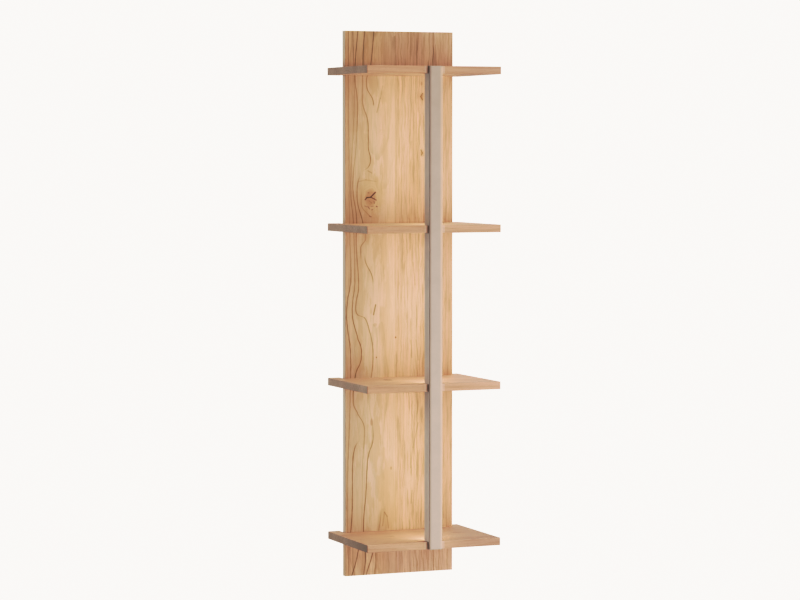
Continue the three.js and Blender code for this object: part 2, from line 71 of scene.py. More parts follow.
MM = 0.001
SHARP_EDGE = math.radians(35.0)
THREAD_STEPS = 8
QUARTER_TURN = math.pi / 2.0
FULL_TURN = 2.0 * math.pi
# The oiled face bends light less than a varnish's 1.5, so that it has little haze
OILED_IOR = 1.34
# The Mix node's sockets for colours, which share their names with its other sockets
MIX_FIRST, MIX_SECOND, MIX_RESULT = 6, 7, 2


class Grain(Enum):
    """Which way the grain of a piece runs."""

    UPRIGHT = "upright"
    ALONG_X = "along the shelf"
    ACROSS_Y = "from the board into the shelf"


# Node graphs


def draw_curve(curve: bpy.types.CurveMap, points: Sequence[Share]) -> None:
    """Lays a new curve through points.

    Args:
        curve: The curve, with its two ends.
        points: Pairs of place and height, in order.
    """
    curve.points[0].location, curve.points[-1].location = points[0], points[-1]
    for place, height in points[1:-1]:
        curve.points.new(place, height)


class Graph:
    """A node tree while it is being built."""

    def __init__(self, tree: Tree) -> None:
        """Takes the tree that the nodes go into.

        Args:
            tree: An empty shader or geometry tree.
        """
        self.tree = tree

    def add(self, kind: str, feeds: dict[str | int, Feed] | None = None, **settings: object) -> Node:
        """Adds one node.

        Args:
            kind: The node's type.
            feeds: A value or a socket for each named or numbered input.
            settings: Properties of the node.

        Returns:
            The new node.
        """
        node = self.tree.nodes.new(kind)
        for name, value in settings.items():
            setattr(node, name, value)
        for key, value in (feeds or {}).items():
            self.feed(node.inputs[key], value)
        return node

    def feed(self, socket: Socket, value: Feed) -> None:
        """Links a socket into an input, or sets its value.

        Args:
            socket: The input.
            value: A socket or a value.
        """
        if isinstance(value, Socket):
            self.tree.links.new(value, socket)
        elif isinstance(value, tuple) and len(value) == 3 and socket.type == "RGBA":
            socket.default_value = (*value, 1.0)
        else:
            socket.default_value = value

    def math(self, operation: str, *values: Feed, clamp: bool = False) -> Socket:
        """One Math node on one to three values."""
        feeds = dict(enumerate(values))
        return self.add("ShaderNodeMath", feeds, operation=operation, use_clamp=clamp).outputs[0]

    def times(self, first: Feed, second: Feed) -> Socket:
        """The product of two values."""
        return self.math("MULTIPLY", first, second)

    def plus(self, first: Feed, second: Feed) -> Socket:
        """The sum of two values."""
        return self.math("ADD", first, second)

    def minus(self, first: Feed, second: Feed) -> Socket:
        """The first value less the second."""
        return self.math("SUBTRACT", first, second)

    def absolute(self, value: Feed) -> Socket:
        """A value without its sign."""
        return self.math("ABSOLUTE", value)

    def vector(self, operation: str, first: Feed, second: Feed) -> Outputs:
        """The outputs of one Vector Math node."""
        return self.add("ShaderNodeVectorMath", {0: first, 1: second}, operation=operation).outputs

    def normal(self) -> Socket:
        """The way that the surface faces."""
        return self.add("ShaderNodeNewGeometry").outputs["Normal"]

    def split(self, vector: Feed) -> tuple[Socket, Socket, Socket]:
        """The three parts of a vector."""
        node = self.add("ShaderNodeSeparateXYZ", {0: vector})
        return node.outputs[0], node.outputs[1], node.outputs[2]

    def join(self, x: Feed, y: Feed, z: Feed) -> Socket:
        """A vector from three values."""
        return self.add("ShaderNodeCombineXYZ", {0: x, 1: y, 2: z}).outputs[0]

    def stretch(self, vector: Feed, scale: Point) -> Socket:
        """A vector scaled along each axis."""
        return self.vector("MULTIPLY", vector, scale)[0]

    def noise(self, vector: Feed, scale: Feed = 1.0, detail: float = 2.0, roughness: float = 0.5) -> Socket:
        """Soft noise from 0 to 1, about 0.5 on average."""
        feeds = {"Vector": vector, "Scale": scale, "Detail": detail, "Roughness": roughness}
        return self.add("ShaderNodeTexNoise", feeds).outputs[0]

    def smooth(self, value: Feed, low: Feed, high: Feed, out_low: Feed = 0.0, out_high: Feed = 1.0) -> Socket:
        """A soft step from one level to another."""
        feeds = {0: value, 1: low, 2: high, 3: out_low, 4: out_high}
        return self.add("ShaderNodeMapRange", feeds, interpolation_type="SMOOTHSTEP").outputs[0]

    def scale_range(self, value: Feed, low: Feed, high: Feed, out_low: Feed, out_high: Feed) -> Socket:
        """A straight step from one range to another, held at its ends."""
        feeds = {0: value, 1: low, 2: high, 3: out_low, 4: out_high}
        return self.add("ShaderNodeMapRange", feeds).outputs[0]

    def curve(self, value: Feed, points: Sequence[Share]) -> Socket:
        """A value read off a drawn curve.

        Args:
            value: Where to read it, from 0 to 1.
            points: Pairs of place and height, in order.

        Returns:
            The height of the curve.
        """
        node = self.add("ShaderNodeFloatCurve", {"Value": value})
        curve = node.mapping.curves[0]
        draw_curve(curve, points)
        for point in curve.points:
            point.handle_type = "AUTO_CLAMPED"
        node.mapping.update()
        return node.outputs[0]

    def mix(self, share: Feed, first: Feed, second: Feed, blend: str = "MIX") -> Socket:
        """A blend of two colours."""
        node = self.add("ShaderNodeMix", {0: share, MIX_FIRST: first, MIX_SECOND: second},
                        data_type="RGBA", blend_type=blend, clamp_factor=True)
        return node.outputs[MIX_RESULT]

    def tint(self, share: Feed, colour: Feed, tone: Feed) -> Socket:
        """A colour multiplied by a tone, as far as a share says."""
        return self.mix(share, colour, self.mix(1.0, colour, tone, "MULTIPLY"))

    def shade(self, colour: Feed, level: Feed) -> Socket:
        """A colour multiplied by a level."""
        return self.mix(1.0, colour, self.join(level, level, level), "MULTIPLY")

    def call(self, group: Tree, **feeds: Feed) -> Outputs:
        """Places a node group.

        Args:
            group: The group's tree.
            feeds: A value or socket for each input, its spaces written as underscores.

        Returns:
            The group's outputs.
        """
        node = self.add("ShaderNodeGroup", node_tree=group)
        for name, value in feeds.items():
            self.feed(node.inputs[name.replace("_", " ")], value)
        return node.outputs


def effect(name: str, inputs: dict[str, float | Point],
           outputs: Sequence[str]) -> tuple[Graph, dict[str, Socket]]:
    """Starts a shader node group.

    Args:
        name: The group's name.
        inputs: Each input with its usual value, a number or a vector.
        outputs: Names of the outputs. One named Normal is a vector, the others are numbers.

    Returns:
        The graph of the group, and its inputs as sockets by name.
    """
    tree = bpy.data.node_groups.new(name, "ShaderNodeTree")
    for title, usual in inputs.items():
        kind = "NodeSocketVector" if isinstance(usual, tuple) else "NodeSocketFloat"
        tree.interface.new_socket(title, in_out="INPUT", socket_type=kind).default_value = usual
    for title in outputs:
        kind = "NodeSocketVector" if title == "Normal" else "NodeSocketFloat"
        tree.interface.new_socket(title, in_out="OUTPUT", socket_type=kind)
    graph = Graph(tree)
    entry = graph.add("NodeGroupInput")
    return graph, {title: entry.outputs[title] for title in inputs}


def close(graph: Graph, **results: Feed) -> Tree:
    """Ends a shader node group.

    Args:
        graph: The graph of the group.
        results: What each output gives.

    Returns:
        The group's tree.
    """
    ending = graph.add("NodeGroupOutput")
    for name, value in results.items():
        graph.feed(ending.inputs[name], value)
    return graph.tree


# Shared effects


def growth_rings() -> Tree:
    """Growth rings round a wandering pith, seen on any face of a board cut from the log.

    Returns:
        The group's tree.
    """
    usual = {"Position": (0.0, 0.0, 0.0), "Pith Across": 0.0, "Pith Depth": 0.06, "Ring Width": 0.008,
             "Wander": 0.02, "Warp": 1.0, "Bend": 0.0, "Seed": 0.0}
    g, i = effect("growth_rings", usual, ["Late", "Line", "Ring"])
    across, depth, along = g.split(i["Position"])
    seeded = g.plus(along, g.times(i["Seed"], 3.7))
    place = g.join(across, depth, seeded)
    slow = g.noise(g.stretch(place, (3.0, 3.0, 1.3)), detail=1.5)
    kink = g.noise(g.stretch(place, (16.0, 12.0, 9.0)), detail=3.0)
    sway = g.plus(g.minus(slow, 0.5), g.times(g.minus(kink, 0.5), 0.22))
    sideways = g.plus(g.plus(g.minus(across, i["Pith Across"]), i["Bend"]), g.times(sway, i["Wander"]))
    drift = g.noise(g.join(0.0, g.times(i["Seed"], 5.0), g.times(seeded, 1.7)), detail=1.0)
    stray = g.times(g.minus(drift, 0.5), g.times(i["Wander"], 2.0))
    inwards = g.plus(g.minus(depth, i["Pith Depth"]), stray)
    radius = g.math("SQRT", g.plus(g.times(sideways, sideways), g.times(inwards, inwards)))
    uneven = g.noise(g.join(g.times(radius, 30.0), i["Seed"], 0.0), detail=1.0)
    phase = g.plus(g.math("DIVIDE", radius, i["Ring Width"]), g.times(uneven, 1.6))
    strain = g.noise(g.stretch(place, (13.0, 7.0, 1.9)), detail=3.0)
    phase = g.plus(phase, g.times(strain, i["Warp"]))
    share = g.math("FRACT", phase)
    step = g.add("ShaderNodeTexWhiteNoise", {"W": g.math("FLOOR", phase)}, noise_dimensions="1D").outputs[0]
    fall = g.smooth(share, 0.965, 1.0, 1.0, 0.0)
    late = g.times(g.math("POWER", g.smooth(share, 0.2, 0.97), 1.6), fall)
    line = g.times(g.smooth(share, 0.7, 0.93), fall)
    return close(g, Late=late, Line=line, Ring=step)


def timber_fibre() -> Tree:
    """The fine patterns of the wood, all drawn out along the grain, from its pores to broad clouds.

    Returns:
        The group's tree.
    """
    # Each pattern's scale across and along the grain, its detail and its roughness
    patterns = {"Fibre": (900.0, 16.0, 2.0, 0.6), "Streak": (125.0, 4.2, 3.0, 0.65),
                "Dash": (210.0, 9.0, 2.0, 0.6), "Pore": (1500.0, 95.0, 1.0, 0.5),
                "Cloud": (13.0, 2.1, 2.5, 0.55), "Flush": (22.0, 4.3, 2.0, 0.55),
                "Gap": (70.0, 15.0, 1.0, 0.5), "Flame": (31.0, 7.0, 4.0, 0.62)}
    steps = {"Dash": (0.53, 0.64), "Pore": (0.62, 0.74), "Gap": (0.42, 0.56), "Flame": (0.5, 0.56)}
    g, i = effect("timber_fibre", {"Position": (0.0, 0.0, 0.0), "Seed": 0.0}, list(patterns))
    across, depth, along = g.split(i["Position"])
    place = g.join(across, depth, g.plus(along, i["Seed"]))
    results = {}
    for name, (fine, drawn, detail, roughness) in patterns.items():
        noise = g.noise(g.stretch(place, (fine, fine, drawn)), detail=detail, roughness=roughness)
        results[name] = g.smooth(noise, *steps[name]) if name in steps else noise
    return close(g, **results)


def knot() -> Tree:
    """A knot: its dark core, its own rings and how far it pushes the grain aside.

    Returns:
        The group's tree.
    """
    usual = {"Across": 0.0, "Along": 0.0, "Half Width": 0.02, "Half Height": 0.03, "Seed": 0.0}
    g, i = effect("knot", usual, ["Core", "Ring", "Bend"])
    wobble = g.noise(g.join(g.times(i["Across"], 60.0), g.times(i["Along"], 60.0), i["Seed"]), detail=2.0)
    wide = g.math("DIVIDE", i["Across"], i["Half Width"])
    tall = g.math("DIVIDE", i["Along"], i["Half Height"])
    plain = g.math("SQRT", g.plus(g.times(wide, wide), g.times(tall, tall)))
    away = g.plus(plain, g.times(g.minus(wobble, 0.5), 0.5))
    core = g.smooth(away, 0.55, 1.05, 1.0, 0.0)
    turn = g.math("FRACT", g.times(away, 3.2))
    ring = g.times(g.smooth(turn, 0.55, 0.95), g.smooth(away, 0.9, 2.0, 1.0, 0.0))
    reach = g.math("EXPONENT", g.times(g.times(plain, plain), -0.22))
    bend = g.times(g.times(i["Across"], -0.72), reach)
    return close(g, Core=core, Ring=ring, Bend=bend)


def short_crack() -> Tree:
    """A thin dark split between two points of a face.

    Returns:
        The group's tree.
    """
    usual = {"Across": 0.0, "Along": 0.0, "Start Across": 0.0, "Start Along": 0.0, "End Across": 0.01,
             "End Along": 0.01, "Width": 0.001}
    g, i = effect("short_crack", usual, ["Mask"])
    start = g.join(i["Start Across"], i["Start Along"], 0.0)
    place = g.vector("SUBTRACT", g.join(i["Across"], i["Along"], 0.0), start)[0]
    run = g.vector("SUBTRACT", g.join(i["End Across"], i["End Along"], 0.0), start)[0]
    dot = g.vector("DOT_PRODUCT", place, run)["Value"]
    share = g.math("DIVIDE", dot, g.vector("DOT_PRODUCT", run, run)["Value"], clamp=True)
    nearest = g.add("ShaderNodeVectorMath", {0: run, "Scale": share}, operation="SCALE").outputs[0]
    off = g.vector("DISTANCE", place, nearest)["Value"]
    return close(g, Mask=g.smooth(off, g.times(i["Width"], 0.35), i["Width"], 1.0, 0.0))


def drawn_line() -> Tree:
    """A growth line at a drawn place: sharp on its outer side, fading on its inner one.

    Returns:
        The group's tree.
    """
    usual = {"Across": 0.0, "Place": 0.0, "Strength": 1.0, "Width": 0.003}
    g, i = effect("drawn_line", usual, ["Line", "Shade"])
    off = g.minus(i["Across"], i["Place"])
    near = g.absolute(off)
    line = g.times(g.smooth(near, g.times(i["Width"], 0.15), i["Width"], 1.0, 0.0), i["Strength"])
    soft = g.smooth(off, g.times(i["Width"], -5.0), 0.0)
    edge = g.smooth(off, 0.0, g.times(i["Width"], 0.8), 1.0, 0.0)
    return close(g, Line=line, Shade=g.times(g.times(soft, edge), i["Strength"]))


def eased_edge() -> Tree:
    """Edges that a hand has softened: a mask along them, and a normal rounded over them.

    Returns:
        The group's tree.
    """
    g, i = effect("eased_edge", {"Radius": 0.002}, ["Edge", "Normal"])
    rounded = g.add("ShaderNodeBevel", {"Radius": i["Radius"]}, samples=6).outputs[0]
    same = g.vector("DOT_PRODUCT", rounded, g.normal())["Value"]
    return close(g, Edge=g.smooth(same, 0.999, 0.9, 0.0, 1.0), Normal=rounded)


def settled_dust() -> Tree:
    """A faint film of dust on faces that look up.

    Returns:
        The group's tree.
    """
    g, i = effect("settled_dust", {"Position": (0.0, 0.0, 0.0), "Amount": 0.2}, ["Dust"])
    up = g.smooth(g.split(g.normal())[2], 0.55, 0.98)
    patch = g.noise(g.stretch(i["Position"], (23.0, 23.0, 23.0)), detail=4.0, roughness=0.7)
    return close(g, Dust=g.times(g.times(up, g.smooth(patch, 0.35, 0.75)), i["Amount"]))


def fine_grain() -> Tree:
    """The fine skin of lacquer, cast metal or moulding: an even ripple and sparse specks.

    Returns:
        The group's tree.
    """
    usual = {"Position": (0.0, 0.0, 0.0), "Fineness": 900.0}
    g, i = effect("fine_grain", usual, ["Ripple", "Speck", "Cloud"])
    ripple = g.noise(i["Position"], i["Fineness"], detail=2.0, roughness=0.55)
    speck = g.noise(i["Position"], g.times(i["Fineness"], 2.3), detail=1.0)
    cloud = g.noise(i["Position"], 19.0, detail=5.0, roughness=0.62)
    return close(g, Ripple=ripple, Speck=g.smooth(speck, 0.66, 0.76), Cloud=cloud)


class Effects:
    """The node groups that the finishes share, each built once."""

    def __init__(self) -> None:
        """Builds every group."""
        self.rings = growth_rings()
        self.fibre = timber_fibre()
        self.knot = knot()
        self.crack = short_crack()
        self.line = drawn_line()
        self.edge = eased_edge()
        self.dust = settled_dust()
        self.grain = fine_grain()


EFFECTS = Effects()


# Finishes


def new_material(name: str) -> tuple[Finish, Graph, Node]:
    """Starts a material.

    Args:
        name: The material's name.

    Returns:
        The material, its graph and its Principled BSDF.
    """
    material = bpy.data.materials.new(name)
    material.use_nodes = True
    return material, Graph(material.node_tree), material.node_tree.nodes["Principled BSDF"]


def object_position(graph: Graph) -> Socket:
    """The place on the piece, in the object's own frame."""
    return graph.add("ShaderNodeTexCoord").outputs["Object"]


@dataclass(frozen=True)
class Timber:
    """Oiled timber, cut from a log whose pith runs behind or below the piece.

    Attributes:
        name: Name of the material.
        grain: Which way the grain runs.
        pale: Early wood.
        honey: The deeper tone of its clouds.
        blush: The pinker tone of some of its streaks.
        late: Late wood.
        dark: Growth lines and pores.
        end: End grain, as a tint of the face.
        pith: Where the pith runs, across the grain and in depth.
        ring_width: From one growth line to the next.
        wander: How far the pith strays.
        line_strength: How dark the growth lines are.
        late_strength: How deep the late wood is shaded.
        warp: How many growth lines wide the grain is strained out of true.
        broken: How much the growth lines break up.
        streak: How strong the long fine streaks are.
        dash: How dark the thin dashes are.
        seed: Sets one piece apart from the next.
        polish: Roughness of the oiled face.
        centre: The place that the pith is measured from.
    """

    name: str
    grain: Grain
    pale: Colour
    honey: Colour
    blush: Colour
    late: Colour
    dark: Colour
    end: Colour
    pith: tuple[float, float]
    ring_width: float = 0.008
    wander: float = 0.03
    line_strength: float = 0.5
    late_strength: float = 0.5
    warp: float = 1.5
    broken: float = 0.5
    streak: float = 0.08
    dash: float = 0.05
    seed: float = 0.0
    polish: float = 0.46
    centre: Point = (0.0, 0.0, 0.0)

    def aligned(self, g: Graph) -> Socket:
        """Measures the place on the piece from its centre.

        Args:
            g: The material's graph.

        Returns:
            The place as across, depth and along the grain.
        """
        back = tuple(-part for part in self.centre)
        placed = g.add("ShaderNodeMapping", {"Vector": object_position(g), "Location": back})
        x, y, z = g.split(placed.outputs[0])
        ways = {Grain.UPRIGHT: (x, y, z), Grain.ALONG_X: (y, z, x), Grain.ACROSS_Y: (z, x, y)}
        return g.join(*ways[self.grain])

    def axis(self) -> Point:
        """The direction of the grain."""
        ways = {Grain.UPRIGHT: (0.0, 0.0, 1.0), Grain.ALONG_X: (1.0, 0.0, 0.0),
                Grain.ACROSS_Y: (0.0, 1.0, 0.0)}
        return ways[self.grain]

    def figure_position(self, g: Graph, position: Socket) -> Socket:
        """The place in the log that the figure is read at."""
        return position

    def bend(self, g: Graph, position: Socket) -> Feed:
        """How far knots push the grain aside. Plain timber has none."""
        return 0.0

    def ring_step(self, g: Graph, position: Socket) -> Feed:
        """From one growth line to the next, which is the same all over plain timber."""
        return self.ring_width

    def boldness(self, g: Graph, position: Socket) -> Feed:
        """How much bolder the growth lines are in places. On plain timber they are even."""
        return 1.0

    def extras(self, g: Graph, position: Socket, colour: Socket) -> tuple[Socket, Feed]:
        """Marks drawn over the grain, and how deep they lie. Plain timber has none."""
        return colour, 0.0

    def figure(self, g: Graph, position: Socket) -> tuple[Socket, Socket, Outputs]:
        """Colours the growth rings, clouds, streaks, dashes and pores.

        Args:
            g: The material's graph.
            position: The place on the piece as across, depth and along the grain.

        Returns:
            The colour, the share of late wood, and the patterns of the fibres.
        """
        log_place = self.figure_position(g, position)
        rings = g.call(EFFECTS.rings, Position=log_place, Pith_Across=self.pith[0], Pith_Depth=self.pith[1],
                       Ring_Width=self.ring_step(g, position), Wander=self.wander, Warp=self.warp,
                       Seed=self.seed, Bend=self.bend(g, position))
        fibre = g.call(EFFECTS.fibre, Position=log_place, Seed=self.seed)
        colour = g.mix(g.smooth(fibre["Cloud"], 0.32, 0.68), self.pale, self.honey)
        colour = g.mix(g.smooth(fibre["Flush"], 0.45, 0.68, 0.0, 0.7), colour, self.blush)
        each = g.scale_range(rings["Ring"], 0.0, 1.0, self.late_strength * 0.25, self.late_strength)
        late = g.times(rings["Late"], each)
        colour = g.mix(late, colour, self.late)
        whole = g.scale_range(fibre["Gap"], 0.0, 1.0, 1.0 - self.broken, 1.0)
        bold = g.times(rings["Line"], g.smooth(rings["Ring"], 0.25, 0.95))
        bold = g.times(g.times(bold, whole), g.times(self.boldness(g, position), self.line_strength))
        colour = g.mix(g.math("MINIMUM", bold, 1.0), colour, self.dark)
        tone = g.times(g.scale_range(fibre["Streak"], 0.3, 0.7, 1.0 - self.streak, 1.0 + self.streak),
                       g.scale_range(fibre["Fibre"], 0.2, 0.8, 0.93, 1.06))
        colour = g.shade(colour, tone)
        colour = g.mix(g.times(fibre["Dash"], self.dash), colour, self.dark)
        colour = g.mix(g.times(fibre["Pore"], 0.35), colour, self.dark)
        return colour, late, fibre

    def build(self) -> Finish:
        """Makes the material.

        Returns:
            The material.
        """
        material, g, shader = new_material(self.name)
        position = self.aligned(g)
        colour, late, fibre = self.figure(g, position)
        colour, depth = self.extras(g, position, colour)
        edge = g.call(EFFECTS.edge, Radius=1.6 * MM)
        facing = g.vector("DOT_PRODUCT", g.normal(), self.axis())["Value"]
        cut = g.smooth(g.absolute(facing), 0.5, 0.9)
        colour = g.tint(cut, colour, self.end)
        dust = g.call(EFFECTS.dust, Position=object_position(g), Amount=0.05)
        colour = g.mix(g.times(edge["Edge"], 0.12), colour, self.pale)
        g.feed(shader.inputs["Base Color"], g.mix(dust["Dust"], colour, (0.7, 0.66, 0.6)))
        rough = g.plus(self.polish, g.times(g.minus(fibre["Fibre"], 0.5), 0.16))
        rough = g.plus(rough, g.plus(g.times(late, -0.08), g.times(cut, 0.12)))
        g.feed(shader.inputs["Roughness"], g.plus(rough, g.times(dust["Dust"], 0.8)))
        shader.inputs["IOR"].default_value = OILED_IOR
        relief = g.plus(g.times(fibre["Fibre"], 0.5), g.times(late, 0.35))
        relief = g.minus(g.minus(relief, fibre["Pore"]), depth)
        feeds = {"Height": relief, "Strength": 0.35, "Distance": 0.12 * MM, "Normal": edge["Normal"]}
        g.feed(shader.inputs["Normal"], g.add("ShaderNodeBump", feeds).outputs[0])
        return material


@dataclass(frozen=True)
class ShelfTimber(Timber):
    """A shelf's timber: each plank has its own tones, and painted light makes its front paler beside the
    spine.

    Attributes:
        far_tone: Tint towards the right end.
        top_light: Painted light on the top face, as a tint.
        front_tone: Tint of the front edge.
        end_shade: How much painted shade darkens the two ends, most of all towards the front.
        slot_half: Half of the slot that takes the spine.
        cut: How strong the band of painted light beside the slot is.
        knot: Where a small knot lies, along X and Y, if the plank has one.
    """

    far_tone: Colour = (1.0, 1.0, 1.0)
    top_light: Colour = (1.0, 1.0, 1.0)
    front_tone: Colour = (1.0, 1.0, 1.0)
    end_shade: float = 0.0
    slot_half: float = 25.8 * MM
    cut: float = 0.3
    knot: tuple[float, float] | None = None

    def extras(self, g: Graph, position: Socket, colour: Socket) -> tuple[Socket, Feed]:
        """Tones the plank, paints light on its top and shade on its ends, draws its knot and paints light
        beside the slot.

        Args:
            g: The material's graph.
            position: Not used.
            colour: The colour so far.

        Returns:
            The colour, and how deep the marks lie, which is nothing.
        """
        x, back, _ = g.split(object_position(g))
        side, y, z = g.split(g.normal())
        front = g.smooth(y, -0.9, -0.6, 1.0, 0.0)
        colour = g.tint(g.smooth(x, 0.0, 0.17), colour, self.far_tone)
        # Painted light: the top face is tinted lighter
        colour = g.tint(g.smooth(z, 0.6, 0.9), colour, self.top_light)
        colour = g.tint(front, colour, self.front_tone)
        # Painted shade on the two ends, deepest towards the front
        ends = g.smooth(g.absolute(side), 0.6, 0.9)
        shade = g.times(ends, g.smooth(back, -0.38, -0.1, self.end_shade, self.end_shade * 0.35))
        colour = g.mix(shade, colour, (0.19, 0.11, 0.06))
        if self.knot:
            across, along = g.minus(back, self.knot[1]), g.minus(x, self.knot[0])
            mark = g.call(EFFECTS.knot, Across=across, Along=along, Half_Width=28 * MM,
                          Half_Height=17 * MM, Seed=3.0)
            colour = g.mix(g.times(mark["Ring"], 0.25), colour, self.late)
            colour = g.mix(g.times(mark["Core"], 0.8), colour, (0.3, 0.16, 0.08))
        # Painted light: a paler band on the front beside the slot
        off = g.minus(g.absolute(x), self.slot_half)
        band = g.times(g.smooth(off, 10.5 * MM, 12.0 * MM, 1.0, 0.0), front)
        return g.mix(g.times(band, self.cut), colour, (0.78, 0.62, 0.52)), 0.0


@dataclass(frozen=True)
class GrowthLine:
    """A growth line that the eye picks out on the board, from the foot up.

    Attributes:
        path: Where it turns, as shares of the board's height and width.
        strength: How dark it is, as shares of the height and of full strength.
    """

    path: tuple[Share, ...]
    strength: tuple[Share, ...]


@dataclass(frozen=True)
class Stroke:
    """A short mark on the board.

    Attributes:
        start: One end, as shares of the board's height and width.
        end: The other end.
        width: How wide it is.
        strength: How dark it is, up to 1.
    """

    start: Share
    end: Share
    width: float = 3.0 * MM
    strength: float = 0.5


@dataclass(frozen=True)
class Knot:
    """A knot in the board.

    Attributes:
        place: Its middle, as shares of the board's height and width.
        half_width: Half of its width.
        half_height: Half of its height.
        strength: How strong its core is, up to 1.
        core: Colour of its core.
    """

    place: Share
    half_width: float
    half_height: float
    strength: float
    core: Colour = (0.27, 0.11, 0.045)


# Colour of the core of the two small knots beside the bar
PALE_CORE = (0.47, 0.26, 0.14)

# The lines from left to right
GROWTH_LINES = (
    GrowthLine(
        path=((0.0, 0.03), (0.16, 0.017), (0.29, 0.039), (0.4, 0.05), (0.485, 0.012), (0.555, 0.053),
              (0.63, 0.042), (0.78, 0.035), (0.94, 0.031), (1.0, 0.031)),
        strength=((0.0, 0.6), (0.2, 0.5), (0.36, 0.6), (0.42, 0.9), (0.56, 0.8), (0.6, 0.4), (1.0, 0.6))),
    GrowthLine(
        path=((0.0, 0.057), (0.03, 0.101), (0.08, 0.142), (0.22, 0.163), (0.265, 0.177), (0.3, 0.113),
              (0.325, 0.072), (0.37, 0.093), (0.41, 0.15), (0.44, 0.113), (0.49, 0.065), (0.545, 0.088),
              (0.65, 0.075), (0.71, 0.052), (0.88, 0.085), (1.0, 0.071)),
        strength=((0.0, 0.9), (0.046, 0.8), (0.08, 0.2), (0.16, 0.3), (0.3, 0.7), (0.4, 1.0), (0.5, 0.9),
                  (0.62, 0.5), (0.68, 0.7), (0.78, 0.4), (1.0, 0.6))),
    GrowthLine(
        path=((0.0, 0.166), (0.032, 0.185), (0.084, 0.166), (0.154, 0.19), (0.217, 0.209), (0.259, 0.257),
              (0.324, 0.22), (0.405, 0.256), (0.46, 0.211), (0.476, 0.177), (0.483, 0.105),
              (0.494, 0.096), (0.534, 0.123), (0.62, 0.101), (0.652, 0.105), (0.717, 0.071),
              (0.79, 0.101), (0.865, 0.114), (0.918, 0.091), (1.0, 0.117)),
        strength=((0.0, 0.6), (0.084, 1.0), (0.2, 1.0), (0.26, 0.7), (0.3, 0.2), (0.37, 0.6), (0.41, 0.8),
                  (0.47, 0.8), (0.49, 0.9), (0.6, 0.7), (0.67, 0.8), (0.78, 0.4), (0.84, 0.7),
                  (1.0, 0.8))),
    GrowthLine(
        path=((0.0, 0.2), (0.5, 0.15), (0.604, 0.143), (0.622, 0.188), (0.652, 0.16), (0.704, 0.109),
              (0.742, 0.15), (0.752, 0.215), (0.765, 0.233), (0.787, 0.214), (0.83, 0.212),
              (0.878, 0.159), (0.951, 0.166), (1.0, 0.179)),
        strength=((0.0, 0.0), (0.58, 0.0), (0.6, 0.8), (0.63, 0.4), (0.66, 1.0), (0.71, 0.9),
                  (0.733, 0.3), (0.742, 0.0), (0.756, 1.0), (0.83, 0.9), (0.9, 0.6), (1.0, 0.8))),
    GrowthLine(
        path=((0.0, 0.19), (0.046, 0.259), (0.127, 0.33), (0.2, 0.3), (0.545, 0.254), (0.593, 0.178),
              (0.65, 0.24), (0.686, 0.147), (0.71, 0.149), (0.865, 0.262), (0.905, 0.196), (0.936, 0.234),
              (1.0, 0.266)),
        strength=((0.0, 0.5), (0.03, 0.9), (0.07, 0.3), (0.1, 0.6), (0.13, 0.0), (0.53, 0.0), (0.56, 0.9),
                  (0.6, 0.0), (0.655, 0.0), (0.67, 0.8), (0.7, 0.6), (0.72, 0.0), (0.862, 0.0),
                  (0.868, 0.9), (0.92, 0.7), (1.0, 0.9))),
    GrowthLine(
        path=((0.0, 0.09), (0.045, 0.04), (0.118, 0.061), (0.213, 0.068), (0.238, 0.089), (0.255, 0.13),
              (1.0, 0.2)),
        strength=((0.0, 0.0), (0.045, 0.5), (0.082, 0.9), (0.22, 1.0), (0.238, 0.9), (0.256, 0.0),
                  (1.0, 0.0))),
)

# An arm of the arch in the upper bay, the arch over the large knot, the rims of the two small knots beside
# the bar, loose strokes beside it, and the arch at the foot
FINE_STROKES = (
    Stroke((0.878, 0.325), (0.852, 0.293), strength=0.4),
    Stroke((0.9, 0.345), (0.878, 0.325), strength=0.25),
    Stroke((0.7255, 0.128), (0.7285, 0.19), strength=0.22),
    Stroke((0.7285, 0.19), (0.7255, 0.285), strength=0.22),
    Stroke((0.887, 0.718), (0.8815, 0.7), 3.2 * MM, 0.7),
    Stroke((0.8815, 0.7), (0.8755, 0.716), 3.2 * MM, 0.75),
    Stroke((0.783, 0.702), (0.7775, 0.715), 3.0 * MM, 0.7),
    Stroke((0.7775, 0.715), (0.7735, 0.706), 3.0 * MM, 0.65),
    Stroke((0.499, 0.28), (0.481, 0.261), 3.4 * MM, 0.8),
    Stroke((0.745, 0.21), (0.741, 0.245), strength=0.4),
    Stroke((0.576, 0.628), (0.534, 0.647), strength=0.25),
    Stroke((0.432, 0.61), (0.4, 0.618), strength=0.25),
    Stroke((0.432, 0.657), (0.395, 0.68), strength=0.25),
    Stroke((0.278, 0.676), (0.233, 0.629), strength=0.35),
    Stroke((0.233, 0.629), (0.195, 0.606), strength=0.3),
    Stroke((0.153, 0.62), (0.129, 0.611), strength=0.35),
    Stroke((0.115, 0.362), (0.107, 0.386), strength=0.5),
    Stroke((0.107, 0.386), (0.085, 0.4), strength=0.35),
    Stroke((0.115, 0.362), (0.09, 0.345), strength=0.35),
)

SMALL_KNOTS = (
    Knot((0.88, 0.71), 6.5 * MM, 10.0 * MM, 0.75, PALE_CORE),
    Knot((0.777, 0.71), 5.5 * MM, 8.5 * MM, 0.75, PALE_CORE),
    Knot((0.905, 0.708), 4.0 * MM, 8.0 * MM, 0.35),
    Knot((0.283, 0.242), 5.5 * MM, 15.0 * MM, 0.45),
    Knot((0.462, 0.274), 8.0 * MM, 8.0 * MM, 0.25),
    Knot((0.438, 0.466), 3.2 * MM, 4.0 * MM, 1.0),
    Knot((0.402, 0.287), 2.6 * MM, 3.0 * MM, 1.0),
    Knot((0.196, 0.423), 3.6 * MM, 7.0 * MM, 0.5),
)

